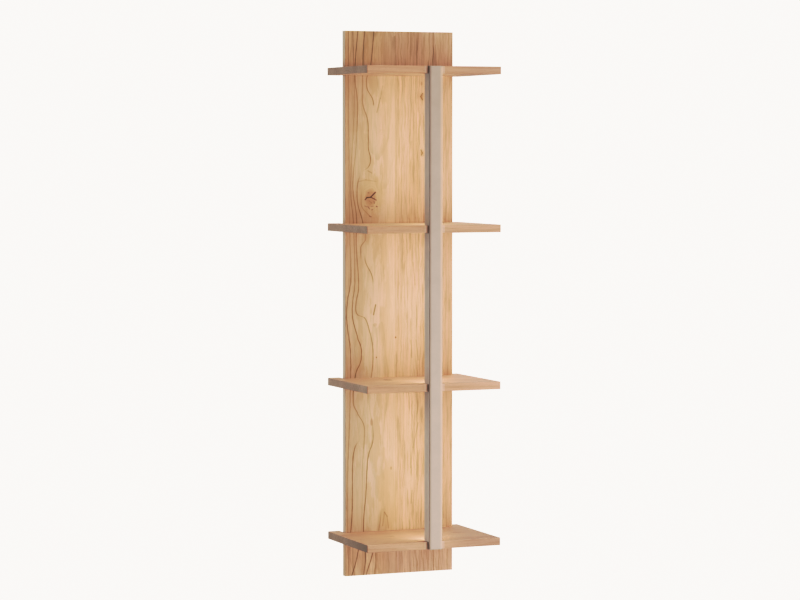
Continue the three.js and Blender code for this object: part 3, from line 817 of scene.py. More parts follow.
# Splits in the large knot: start and end across and along from its middle, width and strength
SPLITS = (
    ((-0.02, -0.006), (-0.014, 0.001), 0.0034, 0.85), ((-0.014, 0.001), (0.0, 0.002), 0.0036, 0.95),
    ((0.0, 0.002), (0.018, 0.019), 0.0036, 0.95), ((0.003, 0.001), (0.014, -0.004), 0.003, 0.8),
    ((0.014, -0.004), (0.021, -0.008), 0.0028, 0.7), ((-0.009, 0.018), (-0.006, 0.017), 0.0026, 0.5),
    ((0.013, -0.013), (0.014, -0.019), 0.0026, 0.6), ((-0.022, -0.028), (-0.014, -0.031), 0.0024, 0.4),
    ((-0.01, -0.031), (-0.004, -0.038), 0.0028, 0.55), ((0.002, -0.03), (0.01, -0.029), 0.0024, 0.4),
    ((0.022, -0.03), (0.024, -0.031), 0.003, 0.8), ((0.004, -0.042), (0.008, -0.041), 0.0026, 0.5),
    ((-0.004, -0.063), (0.002, -0.066), 0.0028, 0.55), ((-0.006, -0.01), (0.004, -0.018), 0.0022, 0.35),
)

# How strong a tone or a line is across the board from its left side, or up it from its foot
BOLD_ACROSS = ((0.0, 1.2), (0.1, 1.1), (0.25, 0.9), (0.45, 1.0), (0.5, 1.1), (1.0, 1.1))
BOLD_UP = ((0.0, 1.0), (0.06, 0.9), (0.08, 0.42), (0.5, 0.4), (0.92, 0.42), (0.94, 1.0), (1.0, 1.0))
KHAKI_ACROSS = ((0.0, 0.5), (0.1, 0.75), (0.25, 0.7), (0.36, 0.3), (0.45, 0.0), (1.0, 0.0))
FLAME_ACROSS = ((0.0, 0.1), (0.12, 0.4), (0.3, 0.55), (0.42, 0.45), (0.5, 0.15), (1.0, 0.1))
STREAK_ACROSS = ((0.0, 0.0), (0.3, 0.1), (0.4, 0.75), (0.452, 0.95), (0.47, 0.25), (0.6, 0.2), (0.66, 0.05),
                 (1.0, 0.0))
FLUSH_UP = ((0.0, 0.4), (0.12, 0.3), (0.25, 0.35), (0.35, 0.2), (0.6, 0.2), (0.68, 0.5), (0.9, 0.55),
            (1.0, 0.3))
# How strong the painted light is up the board: full above the top shelf and under the bottom one, none in the
# bays
END_LIGHT_UP = ((0.0, 1.0), (0.055, 0.9), (0.075, 0.0), (0.5, 0.0), (0.93, 0.0), (0.945, 0.9), (1.0, 1.0))


@dataclass(frozen=True)
class BoardTimber(Timber):
    """The board's timber: two staves, bold upright lines, a knot with splits, and small knots and specks.

    Attributes:
        low: Level of the board's foot.
        height: Height of the board.
        left: Where the board's left side is.
        width: Width of the board.
        seam: Where the two staves meet, as a share of the width.
        fine_ring: From one growth line to the next on the right stave.
        ripple: How far the fibres wind from side to side.
        main_knot: The large knot.
        fields: Patches of browner timber, the first round the large knot.
        field: Their colour.
        khaki: The tone of the left stave between its lines.
        flame: The tone of its ragged darker patches.
        pale_streak: The tone of the streak beside the seam.
        right_tone: The tone towards the right side.
        left_tone: The tone along the left side.
        flank: Colour of the board's two narrow sides.
        flank_foot: Colour of the same under the bottom shelf.
        split: Colour inside a split.
    """

    low: float = -1.65
    height: float = 1.9
    left: float = -0.203
    width: float = 0.406
    seam: float = 0.465
    fine_ring: float = 10.5 * MM
    ripple: float = 10.0 * MM
    main_knot: Knot = Knot((0.6955, 0.234), 24.0 * MM, 34.0 * MM, 0.65, (0.36, 0.19, 0.095))
    fields: tuple[Knot, ...] = (Knot((0.7, 0.237), 62.0 * MM, 84.0 * MM, 0.5),
                                Knot((0.14, 0.4), 46.0 * MM, 150.0 * MM, 0.35))
    field: Colour = (0.49, 0.305, 0.17)
    khaki: Colour = (0.56, 0.39, 0.272)
    flame: Colour = (0.46, 0.285, 0.17)
    pale_streak: Colour = (0.67, 0.445, 0.305)
    right_tone: Colour = (0.62, 0.37, 0.26)
    left_tone: Colour = (0.59, 0.32, 0.18)
    flank: Colour = (0.64, 0.53, 0.42)
    flank_foot: Colour = (0.62, 0.43, 0.28)
    split: Colour = (0.06, 0.022, 0.003)

    def shares(self, g: Graph, position: Socket) -> tuple[Socket, Socket]:
        """Finds a place on the board.

        Args:
            g: The material's graph.
            position: The place as across, depth and along the grain.

        Returns:
            The place as shares of the board's height and width.
        """
        across, _, along = g.split(position)
        level = g.scale_range(along, self.low, self.low + self.height, 0.0, 1.0)
        return level, g.scale_range(across, self.left, self.left + self.width, 0.0, 1.0)

    def spot(self, place: Share) -> tuple[float, float]:
        """The metres across and along the board at shares of its height and width."""
        return self.left + self.width * place[1], self.low + self.height * place[0]

    def figure_position(self, g: Graph, position: Socket) -> Socket:
        """Ripples the grain, and takes the right stave from another place in the log.

        Args:
            g: The material's graph.
            position: The place as across, depth and along the grain.

        Returns:
            The place in the log.
        """
        _, share = self.shares(g, position)
        other = g.math("GREATER_THAN", share, self.seam)
        noise = g.noise(g.stretch(position, (17.0, 9.0, 19.0)), detail=2.5)
        wave = g.times(g.minus(noise, 0.5), self.ripple)
        shift = g.join(g.plus(g.times(other, 0.23), wave), g.times(other, 0.06), g.times(other, 2.7))
        return g.vector("ADD", position, shift)[0]

    def place_knot(self, g: Graph, position: Socket, one: Knot) -> Outputs:
        """Places one knot on the board.

        Args:
            g: The material's graph.
            position: The place as across, depth and along the grain.
            one: The knot.

        Returns:
            What the knot puts out.
        """
        across, _, along = g.split(position)
        middle, level = self.spot(one.place)
        return g.call(EFFECTS.knot, Across=g.minus(across, middle), Along=g.minus(along, level),
                      Half_Width=one.half_width, Half_Height=one.half_height, Seed=one.place[0] * 10.0)

    def bend(self, g: Graph, position: Socket) -> Feed:
        """Leads the grain round the large knot and the two small ones beside the bar.

        Args:
            g: The material's graph.
            position: The place as across, depth and along the grain.

        Returns:
            How far the grain is pushed aside.
        """
        total: Feed = 0.0
        for one in (self.main_knot, SMALL_KNOTS[0], SMALL_KNOTS[1]):
            total = g.plus(self.place_knot(g, position, one)["Bend"], total)
        return total

    def ring_step(self, g: Graph, position: Socket) -> Feed:
        """The left stave grew fast, with wide rings, and the right one slowly."""
        share = self.shares(g, position)[1]
        return g.scale_range(share, self.seam - 0.0005, self.seam, self.ring_width, self.fine_ring)

    def boldness(self, g: Graph, position: Socket) -> Feed:
        """The lines are boldest above the top shelf and under the bottom one, and finer in the bays."""
        level, share = self.shares(g, position)
        return g.times(g.curve(level, BOLD_UP), g.curve(share, BOLD_ACROSS))

    def tint_staves(self, g: Graph, position: Socket, colour: Socket) -> Socket:
        """Tones the staves: khaki and flamed at the left, a pale streak, then the seam and a pinker stave.

        Args:
            g: The material's graph.
            position: The place as across, depth and along the grain.
            colour: The colour so far.

        Returns:
            The colour.
        """
        level, share = self.shares(g, position)
        flame = g.call(EFFECTS.fibre, Position=position, Seed=self.seed)["Flame"]
        flush = g.times(g.smooth(share, 0.02, 0.07, 1.0, 0.0), g.curve(level, FLUSH_UP))
        for amount, tone in (
            (g.times(g.curve(share, KHAKI_ACROSS), g.smooth(level, 0.05, 0.085, 0.25, 0.8)), self.khaki),
            (g.times(flame, g.curve(share, FLAME_ACROSS)), self.flame),
            (g.times(g.curve(share, STREAK_ACROSS), 0.6), self.pale_streak),
            (g.smooth(share, 0.82, 0.93, 0.0, 0.3), self.right_tone),
            (g.times(flush, 0.4), self.left_tone),
        ):
            colour = g.mix(amount, colour, tone)
        # Painted light: the board is lighter above the top shelf and under the bottom one
        ends = g.mix(g.smooth(share, 0.25, 0.45), (1.28, 1.31, 1.25), (1.08, 1.13, 1.17))
        colour = g.tint(g.curve(level, END_LIGHT_UP), colour, ends)
        lower = g.mix(g.smooth(share, 0.2, 0.4), (1.03, 1.07, 1.1), (1.0, 0.99, 0.97))
        colour = g.tint(g.smooth(level, 0.2, 0.6, 1.0, 0.0), colour, lower)
        colour = g.tint(g.smooth(level, 0.05, 0.075, 1.0, 0.0), colour, (1.05, 0.99, 1.04))
        near = g.absolute(g.minus(share, self.seam))
        return g.mix(g.smooth(near, 0.0, 0.006, 0.3, 0.0), colour, self.late)

    def draw_lines(self, g: Graph, position: Socket, colour: Socket) -> tuple[Socket, Feed]:
        """Draws the bold growth lines, each shaded on its inner side.

        Args:
            g: The material's graph.
            position: The place as across, depth and along the grain.
            colour: The colour so far.

        Returns:
            The colour, and how deep the lines lie.
        """
        level, share = self.shares(g, position)
        along = g.split(position)[2]
        wide = g.plus(g.times(g.noise(g.join(0.0, 0.0, g.times(along, 45.0))), 4.0 * MM), 1.0 * MM)
        kink = g.times(g.minus(g.noise(g.join(0.0, 3.0, g.times(along, 38.0))), 0.5), 0.012)
        depth: Feed = 0.0
        for number, one in enumerate(GROWTH_LINES):
            place = g.plus(g.curve(level, one.path), g.times(kink, 1.0 - 0.3 * number))
            line = g.call(EFFECTS.line, Across=g.times(share, self.width), Place=g.times(place, self.width),
                          Strength=g.curve(level, one.strength), Width=wide)
            colour = g.mix(g.times(line["Shade"], 0.25), colour, self.late)
            colour = g.mix(g.times(line["Line"], 0.92), colour, self.dark)
            depth = g.plus(g.times(line["Line"], 0.8), depth)
        return colour, depth

    def draw_knots(self, g: Graph, position: Socket, colour: Socket) -> tuple[Socket, Feed]:
        """Draws the browner fields, the large knot's core and rings, and the small knots.

        Args:
            g: The material's graph.
            position: The place as across, depth and along the grain.
            colour: The colour so far.

        Returns:
            The colour, and how deep the small knots lie.
        """
        for one in self.fields:
            field = self.place_knot(g, position, one)
            colour = g.mix(g.times(field["Core"], one.strength), colour, self.field)
        large = self.place_knot(g, position, self.main_knot)
        colour = g.mix(g.times(large["Ring"], 0.4), colour, self.late)
        colour = g.mix(g.times(large["Core"], self.main_knot.strength), colour, self.main_knot.core)
        depth: Feed = 0.0
        for one in SMALL_KNOTS:
            small = self.place_knot(g, position, one)
            pale = one.core == PALE_CORE
            rim = g.times(small["Ring"], one.strength * (1.0 if pale else 0.5))
            colour = g.mix(rim, colour, self.dark if pale else self.late)
            core = g.times(small["Core"], one.strength)
            colour = g.mix(core, colour, one.core)
            depth = g.plus(core, depth)
        return colour, depth

    def draw_marks(self, g: Graph, position: Socket, colour: Socket) -> tuple[Socket, Feed]:
        """Draws the short strokes, and the splits in the large knot.

        Args:
            g: The material's graph.
            position: The place as across, depth and along the grain.
            colour: The colour so far.

        Returns:
            The colour, and how deep the splits lie.
        """
        across, _, along = g.split(position)
        x, z = self.spot(self.main_knot.place)
        strokes = [(self.spot(one.start), self.spot(one.end), one.width, one.strength)
                   for one in FINE_STROKES]
        splits = [((start[0] + x, start[1] + z), (end[0] + x, end[1] + z), width, strength)
                  for start, end, width, strength in SPLITS]
        depth: Feed = 0.0
        for marks, tone, cut in ((strokes, self.dark, 0.0), (splits, self.split, 0.7)):
            for start, end, width, strength in marks:
                mark = g.call(EFFECTS.crack, Across=across, Along=along, Start_Across=start[0],
                              Start_Along=start[1], End_Across=end[0], End_Along=end[1], Width=width)
                colour = g.mix(g.times(mark["Mask"], strength), colour, tone)
                if cut:
                    depth = g.plus(g.times(mark["Mask"], cut * strength), depth)
        return colour, depth

    def extras(self, g: Graph, position: Socket, colour: Socket) -> tuple[Socket, Feed]:
        """Tones the staves and the narrow sides, and draws every mark, the short ones on the front alone.

        Args:
            g: The material's graph.
            position: The place as across, depth and along the grain.
            colour: The colour so far.

        Returns:
            The colour, and how deep the marks lie.
        """
        colour = self.tint_staves(g, position, colour)
        colour, lines = self.draw_lines(g, position, colour)
        whole, knots = self.draw_knots(g, position, colour)
        marked, splits = self.draw_marks(g, position, whole)
        front = g.smooth(g.split(position)[1], -0.05, -0.044, 1.0, 0.0)
        colour = g.mix(front, whole, marked)
        side = g.smooth(g.absolute(g.split(g.normal())[0]), 0.6, 0.95)
        above = g.smooth(self.shares(g, position)[0], 0.058, 0.07)
        colour = g.mix(g.times(side, 0.8), colour, g.mix(above, self.flank_foot, self.flank))
        return colour, g.plus(g.plus(lines, knots), g.times(splits, front))


@dataclass(frozen=True)
class Lacquer:
    """Satin lacquer on metal or plastic, with a fine skin and brighter rubbed edges."""

    name: str
    colour: Colour
    worn: Colour
    roughness: float
    metallic: float
    fineness: float = 900.0

    def extras(self, g: Graph, position: Socket, colour: Socket) -> Socket:
        """Marks on the lacquer. Plain lacquer has none."""
        return colour

    def build(self) -> Finish:
        """Makes the material.

        Returns:
            The material.
        """
        material, g, shader = new_material(self.name)
        position = object_position(g)
        skin = g.call(EFFECTS.grain, Position=position, Fineness=self.fineness)
        edge = g.call(EFFECTS.edge, Radius=1.2 * MM)
        dust = g.call(EFFECTS.dust, Position=position, Amount=0.06)
        level = g.plus(g.scale_range(skin["Cloud"], 0.3, 0.7, 0.94, 1.05), g.times(skin["Speck"], -0.06))
        colour = self.extras(g, position, g.shade(self.colour, level))
        colour = g.mix(g.times(edge["Edge"], 0.25), colour, self.worn)
        g.feed(shader.inputs["Base Color"], g.mix(dust["Dust"], colour, (0.72, 0.69, 0.64)))
        rough = g.scale_range(skin["Cloud"], 0.3, 0.7, self.roughness - 0.05, self.roughness + 0.07)
        rough = g.plus(rough, g.times(skin["Ripple"], 0.06))
        g.feed(shader.inputs["Roughness"], g.plus(rough, g.times(dust["Dust"], 0.7)))
        shader.inputs["Metallic"].default_value = self.metallic
        feeds = {"Height": skin["Ripple"], "Strength": 0.25, "Distance": 0.05 * MM, "Normal": edge["Normal"]}
        g.feed(shader.inputs["Normal"], g.add("ShaderNodeBump", feeds).outputs[0])
        return material


@dataclass(frozen=True)
class SpineLacquer(Lacquer):
    """The spine's lacquer, with a dark line of painted shade where its sides enter a shelf's slot.

    Attributes:
        levels: Middle level of each shelf.
        side: How far each side of the spine is from its middle.
        seam_half: Half of a shelf's thickness.
        slot_shade: Colour of the painted shade line.
        flank: Tint of the two sides, painted cooler light on them.
        corner_highlight: Painted highlight on the right front corner, stronger towards the top.
        corner_shade: Painted shade on the left front corner.
    """

    levels: tuple[float, ...] = ()
    side: float = 24.75 * MM
    seam_half: float = 13.0 * MM
    slot_shade: Colour = (0.24, 0.13, 0.065)
    flank: Colour = (1.02, 1.14, 1.17)
    corner_highlight: Colour = (1.34, 1.19, 1.04)
    corner_shade: Colour = (0.83, 0.82, 0.81)

    def extras(self, g: Graph, position: Socket, colour: Socket) -> Socket:
        """Paints a paler foot, a highlight on the right front corner, shade on the left one, cooler light on
        the sides, and shade on the sides inside the slots.

        Args:
            g: The material's graph.
            position: The place on the piece.
            colour: The colour so far.

        Returns:
            The colour.
        """
        x, _, z = g.split(position)
        nx, ny, _ = g.split(g.normal())
        # Painted light: the spine is paler towards its foot and darker towards its top
        colour = g.shade(colour, g.scale_range(z, -1.45, 0.1, 1.1, 0.94))
        front = g.smooth(ny, -0.5, -0.2, 1.0, 0.0)
        # Painted highlight along the right front corner, stronger towards the top
        lit = g.times(g.smooth(x, 13.5 * MM, 18 * MM), g.smooth(z, -1.4, 0.0, 0.4, 1.0))
        colour = g.tint(g.times(front, lit), colour, self.corner_highlight)
        # Painted shade along the left front corner
        dim = g.times(front, g.smooth(x, -20 * MM, -14 * MM, 1.0, 0.0))
        colour = g.tint(dim, colour, self.corner_shade)
        # Painted light: the two sides are tinted cooler and greyer, in faint upright streaks
        brushed = g.noise(g.stretch(position, (380.0, 380.0, 2.0)), detail=2.0)
        thin = g.shade(self.flank, g.scale_range(brushed, 0.3, 0.7, 0.92, 1.08))
        colour = g.tint(g.smooth(g.absolute(nx), 0.75, 0.97), colour, thin)
        # Painted shade: the sides darken to a dark line where they enter each shelf's slot
        beside = g.smooth(g.absolute(x), self.side, self.side + 0.2 * MM)
        within: Feed = 0.0
        for level in self.levels:
            off = g.absolute(g.minus(z, level))
            within = g.plus(g.smooth(off, self.seam_half - 1 * MM, self.seam_half + 1 * MM, 1.0, 0.0), within)
        return g.mix(g.times(g.times(beside, within), 0.8), colour, self.slot_shade)


@dataclass(frozen=True)
class Opal:
    """An opal cover lit from within, a little brighter over each chip."""

    name: str
    glow: Colour
    strength: float
    chip_pitch: float

    def build(self) -> Finish:
        """Makes the material.

        Returns:
            The material.
        """
        material, g, shader = new_material(self.name)
        position = object_position(g)
        skin = g.call(EFFECTS.grain, Position=position, Fineness=1400.0)
        wave = g.math("COSINE", g.times(g.split(position)[2], FULL_TURN / self.chip_pitch))
        glow = g.shade(self.glow, g.scale_range(wave, -1.0, 1.0, 0.82, 1.0))
        g.feed(shader.inputs["Base Color"], g.mix(skin["Speck"], (0.86, 0.82, 0.74), (0.8, 0.76, 0.68)))
        g.feed(shader.inputs["Roughness"], g.scale_range(skin["Ripple"], 0.2, 0.8, 0.4, 0.55))
        g.feed(shader.inputs["Emission Color"], glow)
        shader.inputs["Emission Strength"].default_value = self.strength
        return material


class Palette:
    """Every finish of the bookshelf, built once."""

    def __init__(self, levels: Sequence[float]) -> None:
        """Builds the finishes.

        Args:
            levels: Middle level of each shelf, from the top down.
        """
        self.board = BoardTimber(
            name="board_timber", grain=Grain.UPRIGHT, pale=(0.675, 0.438, 0.306), honey=(0.59, 0.358, 0.235),
            blush=(0.67, 0.402, 0.286), late=(0.45, 0.285, 0.165), dark=(0.19, 0.11, 0.03),
            end=(0.8, 0.82, 0.9), pith=(-0.075, 0.03), ring_width=0.019, wander=0.05, line_strength=0.85,
            late_strength=0.42, warp=3.0, broken=0.6, streak=0.15, dash=0.4, seed=1.0).build()
        far_tones = ((0.86, 0.86, 0.9), (0.98, 0.99, 1.02), (0.98, 0.97, 1.0), (0.78, 0.79, 0.84))
        # Painted light on the top faces of the two middle shelves
        top_lights = ((1.0, 1.0, 1.0), (1.1, 1.16, 1.14), (1.11, 1.14, 1.17), (1.0, 1.0, 1.0))
        self.shelves = [
            ShelfTimber(
                name=f"shelf_timber_{number}", grain=Grain.ALONG_X, pale=(0.665, 0.425, 0.295),
                honey=(0.575, 0.35, 0.236), blush=(0.63, 0.385, 0.265), late=(0.44, 0.24, 0.135),
                dark=(0.24, 0.12, 0.06), end=(0.76, 0.86, 0.95), pith=(-0.19, -0.075), ring_width=0.0075,
                wander=0.03, line_strength=0.3, broken=0.6, dash=0.08, seed=2.0 + number * 1.7,
                far_tone=far_tones[number - 1], top_light=top_lights[number - 1], front_tone=(1.05, 0.99, 1.0),
                end_shade=0.48 if number == 4 else 0.0, knot=(-0.086, -0.163) if number == 3 else None,
                centre=(0.0, 0.0, level)).build()
            for number, level in enumerate(levels, start=1)
        ]
        self.batten = Timber(
            name="batten_timber", grain=Grain.ALONG_X, pale=(0.74, 0.58, 0.37), honey=(0.66, 0.48, 0.28),
            blush=(0.7, 0.5, 0.31), late=(0.55, 0.34, 0.16), dark=(0.4, 0.22, 0.1), end=(0.8, 0.72, 0.62),
            pith=(-0.05, -0.06), ring_width=0.0045, wander=0.02, seed=9.0, polish=0.7).build()
        self.beech = Timber(
            name="dowel_beech", grain=Grain.ACROSS_Y, pale=(0.7, 0.5, 0.33), honey=(0.62, 0.42, 0.26),
            blush=(0.66, 0.44, 0.28), late=(0.5, 0.3, 0.17), dark=(0.35, 0.18, 0.09), end=(0.85, 0.8, 0.75),
            pith=(0.05, 0.04), ring_width=0.003, wander=0.01, line_strength=0.25, seed=5.0,
            polish=0.6).build()
        self.spine = SpineLacquer("spine_lacquer", (0.522, 0.403, 0.335), (0.6, 0.49, 0.42), 0.42, 0.1,
                                  levels=tuple(levels)).build()
        self.cap = self.lacquer("cap_plastic", (0.5, 0.415, 0.35), (0.56, 0.47, 0.4), 0.5, 0.0, 1300)
        self.aluminium = self.lacquer("channel_aluminium", (0.72, 0.72, 0.73), (0.85, 0.85, 0.86), 0.36, 0.9,
                                      1500)
        self.steel = self.lacquer("zinc_plated_steel", (0.58, 0.58, 0.6), (0.75, 0.75, 0.76), 0.32, 1.0, 1800)
        self.zinc = self.lacquer("cast_zinc", (0.5, 0.49, 0.46), (0.68, 0.67, 0.64), 0.4, 0.95, 1100)
        self.housing = self.lacquer("driver_housing", (0.78, 0.78, 0.76), (0.84, 0.84, 0.82), 0.5, 0.0, 1200)
        self.black = self.lacquer("black_plastic", (0.03, 0.03, 0.031), (0.07, 0.07, 0.07), 0.5, 0.0, 1500)
        self.sheath = self.lacquer("lead_sheath", (0.035, 0.035, 0.037), (0.08, 0.08, 0.08), 0.6, 0.0, 700)
        self.tape = self.lacquer("light_tape", (0.82, 0.8, 0.75), (0.86, 0.85, 0.8), 0.45, 0.0, 2000)
        self.ceramic = self.lacquer("chip_frame", (0.86, 0.86, 0.84), (0.9, 0.9, 0.88), 0.4, 0.0, 2500)
        self.phosphor = self.lacquer("chip_lens", (0.85, 0.6, 0.12), (0.9, 0.7, 0.25), 0.3, 0.0, 2500)
        self.copper = self.lacquer("solder_pad", (0.72, 0.55, 0.36), (0.85, 0.72, 0.55), 0.35, 1.0, 2500)
        self.opal = Opal("opal_diffuser", (1.0, 0.93, 0.82), 3.2, 22.0 * MM).build()

    def lacquer(self, name: str, colour: Colour, worn: Colour, roughness: float, metallic: float,
                fineness: float) -> Finish:
        """Builds a finish of plain lacquer, with the values in the order of its fields."""
        return Lacquer(name, colour, worn, roughness, metallic, fineness).build()


# Studio

# The light all round the object, from +X towards +Y, as shares of a turn and of the brightest:
# high up, level with the object, and what the far floor sends up
SKY_SHARES = ((0.0, 0.86), (0.125, 0.76), (0.25, 0.42), (0.375, 0.2), (0.5, 0.24), (0.56, 0.16),
              (0.64, 0.14), (0.75, 0.74), (0.875, 0.94), (1.0, 0.86))
HORIZON_SHARES = ((0.0, 0.44), (0.125, 0.22), (0.25, 0.13), (0.375, 0.46), (0.46, 0.3), (0.53, 0.06),
                  (0.62, 0.05), (0.7, 0.14), (0.76, 0.27), (0.875, 0.34), (1.0, 0.44))
FLOOR_SHARES = ((0.0, 0.45), (0.125, 0.2), (0.25, 0.16), (0.375, 0.2), (0.5, 0.18), (0.56, 0.1),
                (0.64, 0.08), (0.75, 0.46), (0.875, 0.7), (1.0, 0.45))
# The film curve: the shade deepens a little and the highlights roll off
FILM_CURVE = ((0.0, 0.0), (0.085, 0.1), (0.14, 0.215), (0.215, 0.4), (0.32, 0.565), (0.5, 0.79),
              (0.75, 0.92), (1.0, 0.975))


def add_object(name: str, data: bpy.types.ID) -> Piece:
    """Puts a new object into the scene.

    Args:
        name: Its name.
        data: Its mesh, light or camera.

    Returns:
        The object.
    """
    item = bpy.data.objects.new(name, data)
    bpy.context.scene.collection.objects.link(item)
    return item


def soft_light(name: str, place: Point, turn: Euler, size: Share, power: float, colour: Colour) -> None:
    """Hangs one soft rectangular light that the camera doesn't see.

    Args:
        name: The light's name.
        place: Where it hangs.
        turn: How it is turned.
        size: Its width and height.
        power: Its power in watts.
        colour: Its colour.
    """
    lamp = bpy.data.lights.new(name, "AREA")
    lamp.shape = "RECTANGLE"
    lamp.size, lamp.size_y = size
    lamp.energy = power
    lamp.color = colour
    holder = add_object(name, lamp)
    holder.location = place
    holder.rotation_euler = turn
    holder.visible_camera = False


@dataclass
class Studio:
    """The floor, the lights and the camera."""

    floor_level: float = -2.05
    floor_half: float = 40.0
    backdrop: Colour = (1.75, 1.64, 1.53)
    daylight: Colour = (1.0, 0.985, 0.965)
    brightest: float = 2.5
    camera_place: Point = (-3.7103, -9.0665, -0.1475)
    camera_turn: float = -22.398
    camera_tilt: float = -3.169
    lens: float = 125.357

    def build(self) -> None:
        """Makes everything round the object."""
        self.tone()
        self.world()
        self.floor()
        for name, place, target, size, power, colour in (
            ("key_softbox", (1.6, -2.4, -1.1), (0.0, -0.3, -1.0), (1.2, 1.2), 14.0, (1.0, 0.985, 0.96)),
            ("side_softbox", (-2.4, 0.9, -0.8), (0.0, -0.2, -0.7), (1.4, 1.8), 23.0, (0.84, 1.0, 1.1)),
        ):
            turn = (Vector(target) - Vector(place)).to_track_quat("-Z", "Y").to_euler()
            soft_light(name, place, turn, size, power, colour)
        self.camera()

    def tone(self) -> None:
        """Sets the film curve."""
        settings = bpy.context.scene.view_settings
        settings.view_transform = "Standard"
        settings.look = "None"
        settings.use_curve_mapping = True
        mapping = settings.curve_mapping
        mapping.white_level = (2.0, 2.0, 2.0)
        draw_curve(mapping.curves[3], FILM_CURVE)
        mapping.update()

    def azimuth(self, g: Graph, x: Socket, y: Socket) -> Socket:
        """The share of a full turn, from +X towards +Y, at which a direction lies."""
        turn = g.math("DIVIDE", g.math("ARCTAN2", y, x), FULL_TURN)
        return g.math("FRACT", g.plus(turn, 1.0))

    def world(self) -> None:
        """Soft light from all round, dimmer from the left, behind a plain pale backdrop."""
        world = bpy.data.worlds.new("studio")
        bpy.context.scene.world = world
        world.use_nodes = True
        g = Graph(world.node_tree)
        world.node_tree.nodes.clear()
        x, y, z = g.split(g.add("ShaderNodeTexCoord").outputs["Generated"])
        where = self.azimuth(g, x, y)
        height = g.smooth(z, math.sin(math.radians(20.0)), math.sin(math.radians(50.0)))
        share = g.scale_range(height, 0.0, 1.0, g.curve(where, HORIZON_SHARES), g.curve(where, SKY_SHARES))
        feeds = {"Color": self.daylight, "Strength": g.times(share, self.brightest)}
        light = g.add("ShaderNodeBackground", feeds).outputs[0]
        seen = g.add("ShaderNodeBackground", {"Color": self.backdrop}).outputs[0]
        which = g.add("ShaderNodeLightPath").outputs["Is Camera Ray"]
        blend = g.add("ShaderNodeMixShader", {0: which, 1: light, 2: seen}).outputs[0]
        g.add("ShaderNodeOutputWorld", {0: blend})

    def floor(self) -> None:
        """A plain pale floor that runs into the backdrop, and can't be seen from below."""
        mesh = bpy.data.meshes.new("floor")
        half, level = self.floor_half, self.floor_level
        corners = [(-half, -half, level), (half, -half, level), (half, half, level), (-half, half, level)]
        mesh.from_pydata(corners, [], [(0, 1, 2, 3)])
        floor = add_object("floor", mesh)
        material, g, shader = new_material("pale_floor")
        position = object_position(g)
        shader.inputs["Base Color"].default_value = (0.9, 0.885, 0.87, 1.0)
        shader.inputs["Roughness"].default_value = 0.85
        away = g.vector("DISTANCE", position, (0.0, 0.0, level))["Value"]
        fade = g.smooth(away, 0.3, 1.7, 0.45, 1.0)
        x, y, _ = g.split(position)
        sent = g.times(g.curve(self.azimuth(g, x, y), FLOOR_SHARES), self.brightest)
        glow = g.add("ShaderNodeEmission", {"Color": self.backdrop}).outputs[0]
        dim = g.add("ShaderNodeEmission", {"Color": self.daylight, "Strength": sent}).outputs[0]
        which = g.add("ShaderNodeLightPath").outputs["Is Camera Ray"]
        far = g.add("ShaderNodeMixShader", {0: which, 1: dim, 2: glow}).outputs[0]
        top = g.add("ShaderNodeMixShader", {0: fade, 1: shader.outputs[0], 2: far}).outputs[0]
        under = g.add("ShaderNodeNewGeometry").outputs["Backfacing"]
        clear = g.add("ShaderNodeBsdfTransparent").outputs[0]
        blend = g.add("ShaderNodeMixShader", {0: under, 1: top, 2: clear}).outputs[0]
        g.feed(material.node_tree.nodes["Material Output"].inputs[0], blend)
        mesh.materials.append(material)

    def camera(self) -> None:
        """Stands the camera at the photograph's angle."""
        lens = bpy.data.cameras.new("camera")
        lens.lens = self.lens
        lens.sensor_width = 36.0
        lens.clip_end = 200.0
        camera = add_object("camera", lens)
        camera.location = self.camera_place
        tilt, turn = math.radians(90.0 + self.camera_tilt), math.radians(self.camera_turn)
        camera.rotation_euler = Euler((tilt, 0.0, turn))
        bpy.context.scene.camera = camera


# Shapes


def loft(rings: Sequence[Ring], closed: bool = False) -> Body:
    """Skins a body over rings of as many points each.

    Args:
        rings: The rings, from one end of the body to the other.
        closed: Whether the last ring joins the first, as round a bore. Otherwise both ends are capped.

    Returns:
        The body, with its normals outwards.
    """
    shape = bmesh.new()
    rows = [[shape.verts.new(point) for point in ring] for ring in rings]
    pairs = list(zip(rows, rows[1:]))
    if closed:
        pairs.append((rows[-1], rows[0]))
    for near, far in pairs:
        for here in range(len(near)):
            there = (here + 1) % len(near)
            shape.faces.new((near[here], near[there], far[there], far[here]))
    if not closed:
        shape.faces.new(rows[0][::-1])
        shape.faces.new(rows[-1])
    bmesh.ops.remove_doubles(shape, verts=shape.verts, dist=1e-6)
    bmesh.ops.recalc_face_normals(shape, faces=shape.faces)
    return shape


def merged(shapes: Sequence[Body]) -> Body:
    """Puts several bodies into one.

    Args:
        shapes: The bodies, which are freed.

    Returns:
        The whole.
    """
    whole = bmesh.new()
    for shape in shapes:
        part = bpy.data.meshes.new("part")
        shape.to_mesh(part)
        shape.free()
        whole.from_mesh(part)
        bpy.data.meshes.remove(part)
    return whole


def moved(shape: Body, matrix: Matrix) -> Body:
    """Moves a body and returns it."""
    bmesh.ops.transform(shape, matrix=matrix, verts=shape.verts)
    return shape


def shifted(shape: Body, x: float, y: float, z: float) -> Body:
    """Shifts a body and returns it."""
    return moved(shape, Matrix.Translation((x, y, z)))


def around(radii: Sequence[float], height: float) -> Ring:
    """Points round the Z axis, one for each radius, evenly spaced."""
    turns = [(radius, FULL_TURN * side / len(radii)) for side, radius in enumerate(radii)]
    return [Vector((radius * math.cos(turn), radius * math.sin(turn), height)) for radius, turn in turns]


def circle(radius: float, height: float, sides: int) -> Ring:
    """Points round a circle about the Z axis."""
    return around([radius] * sides, height)


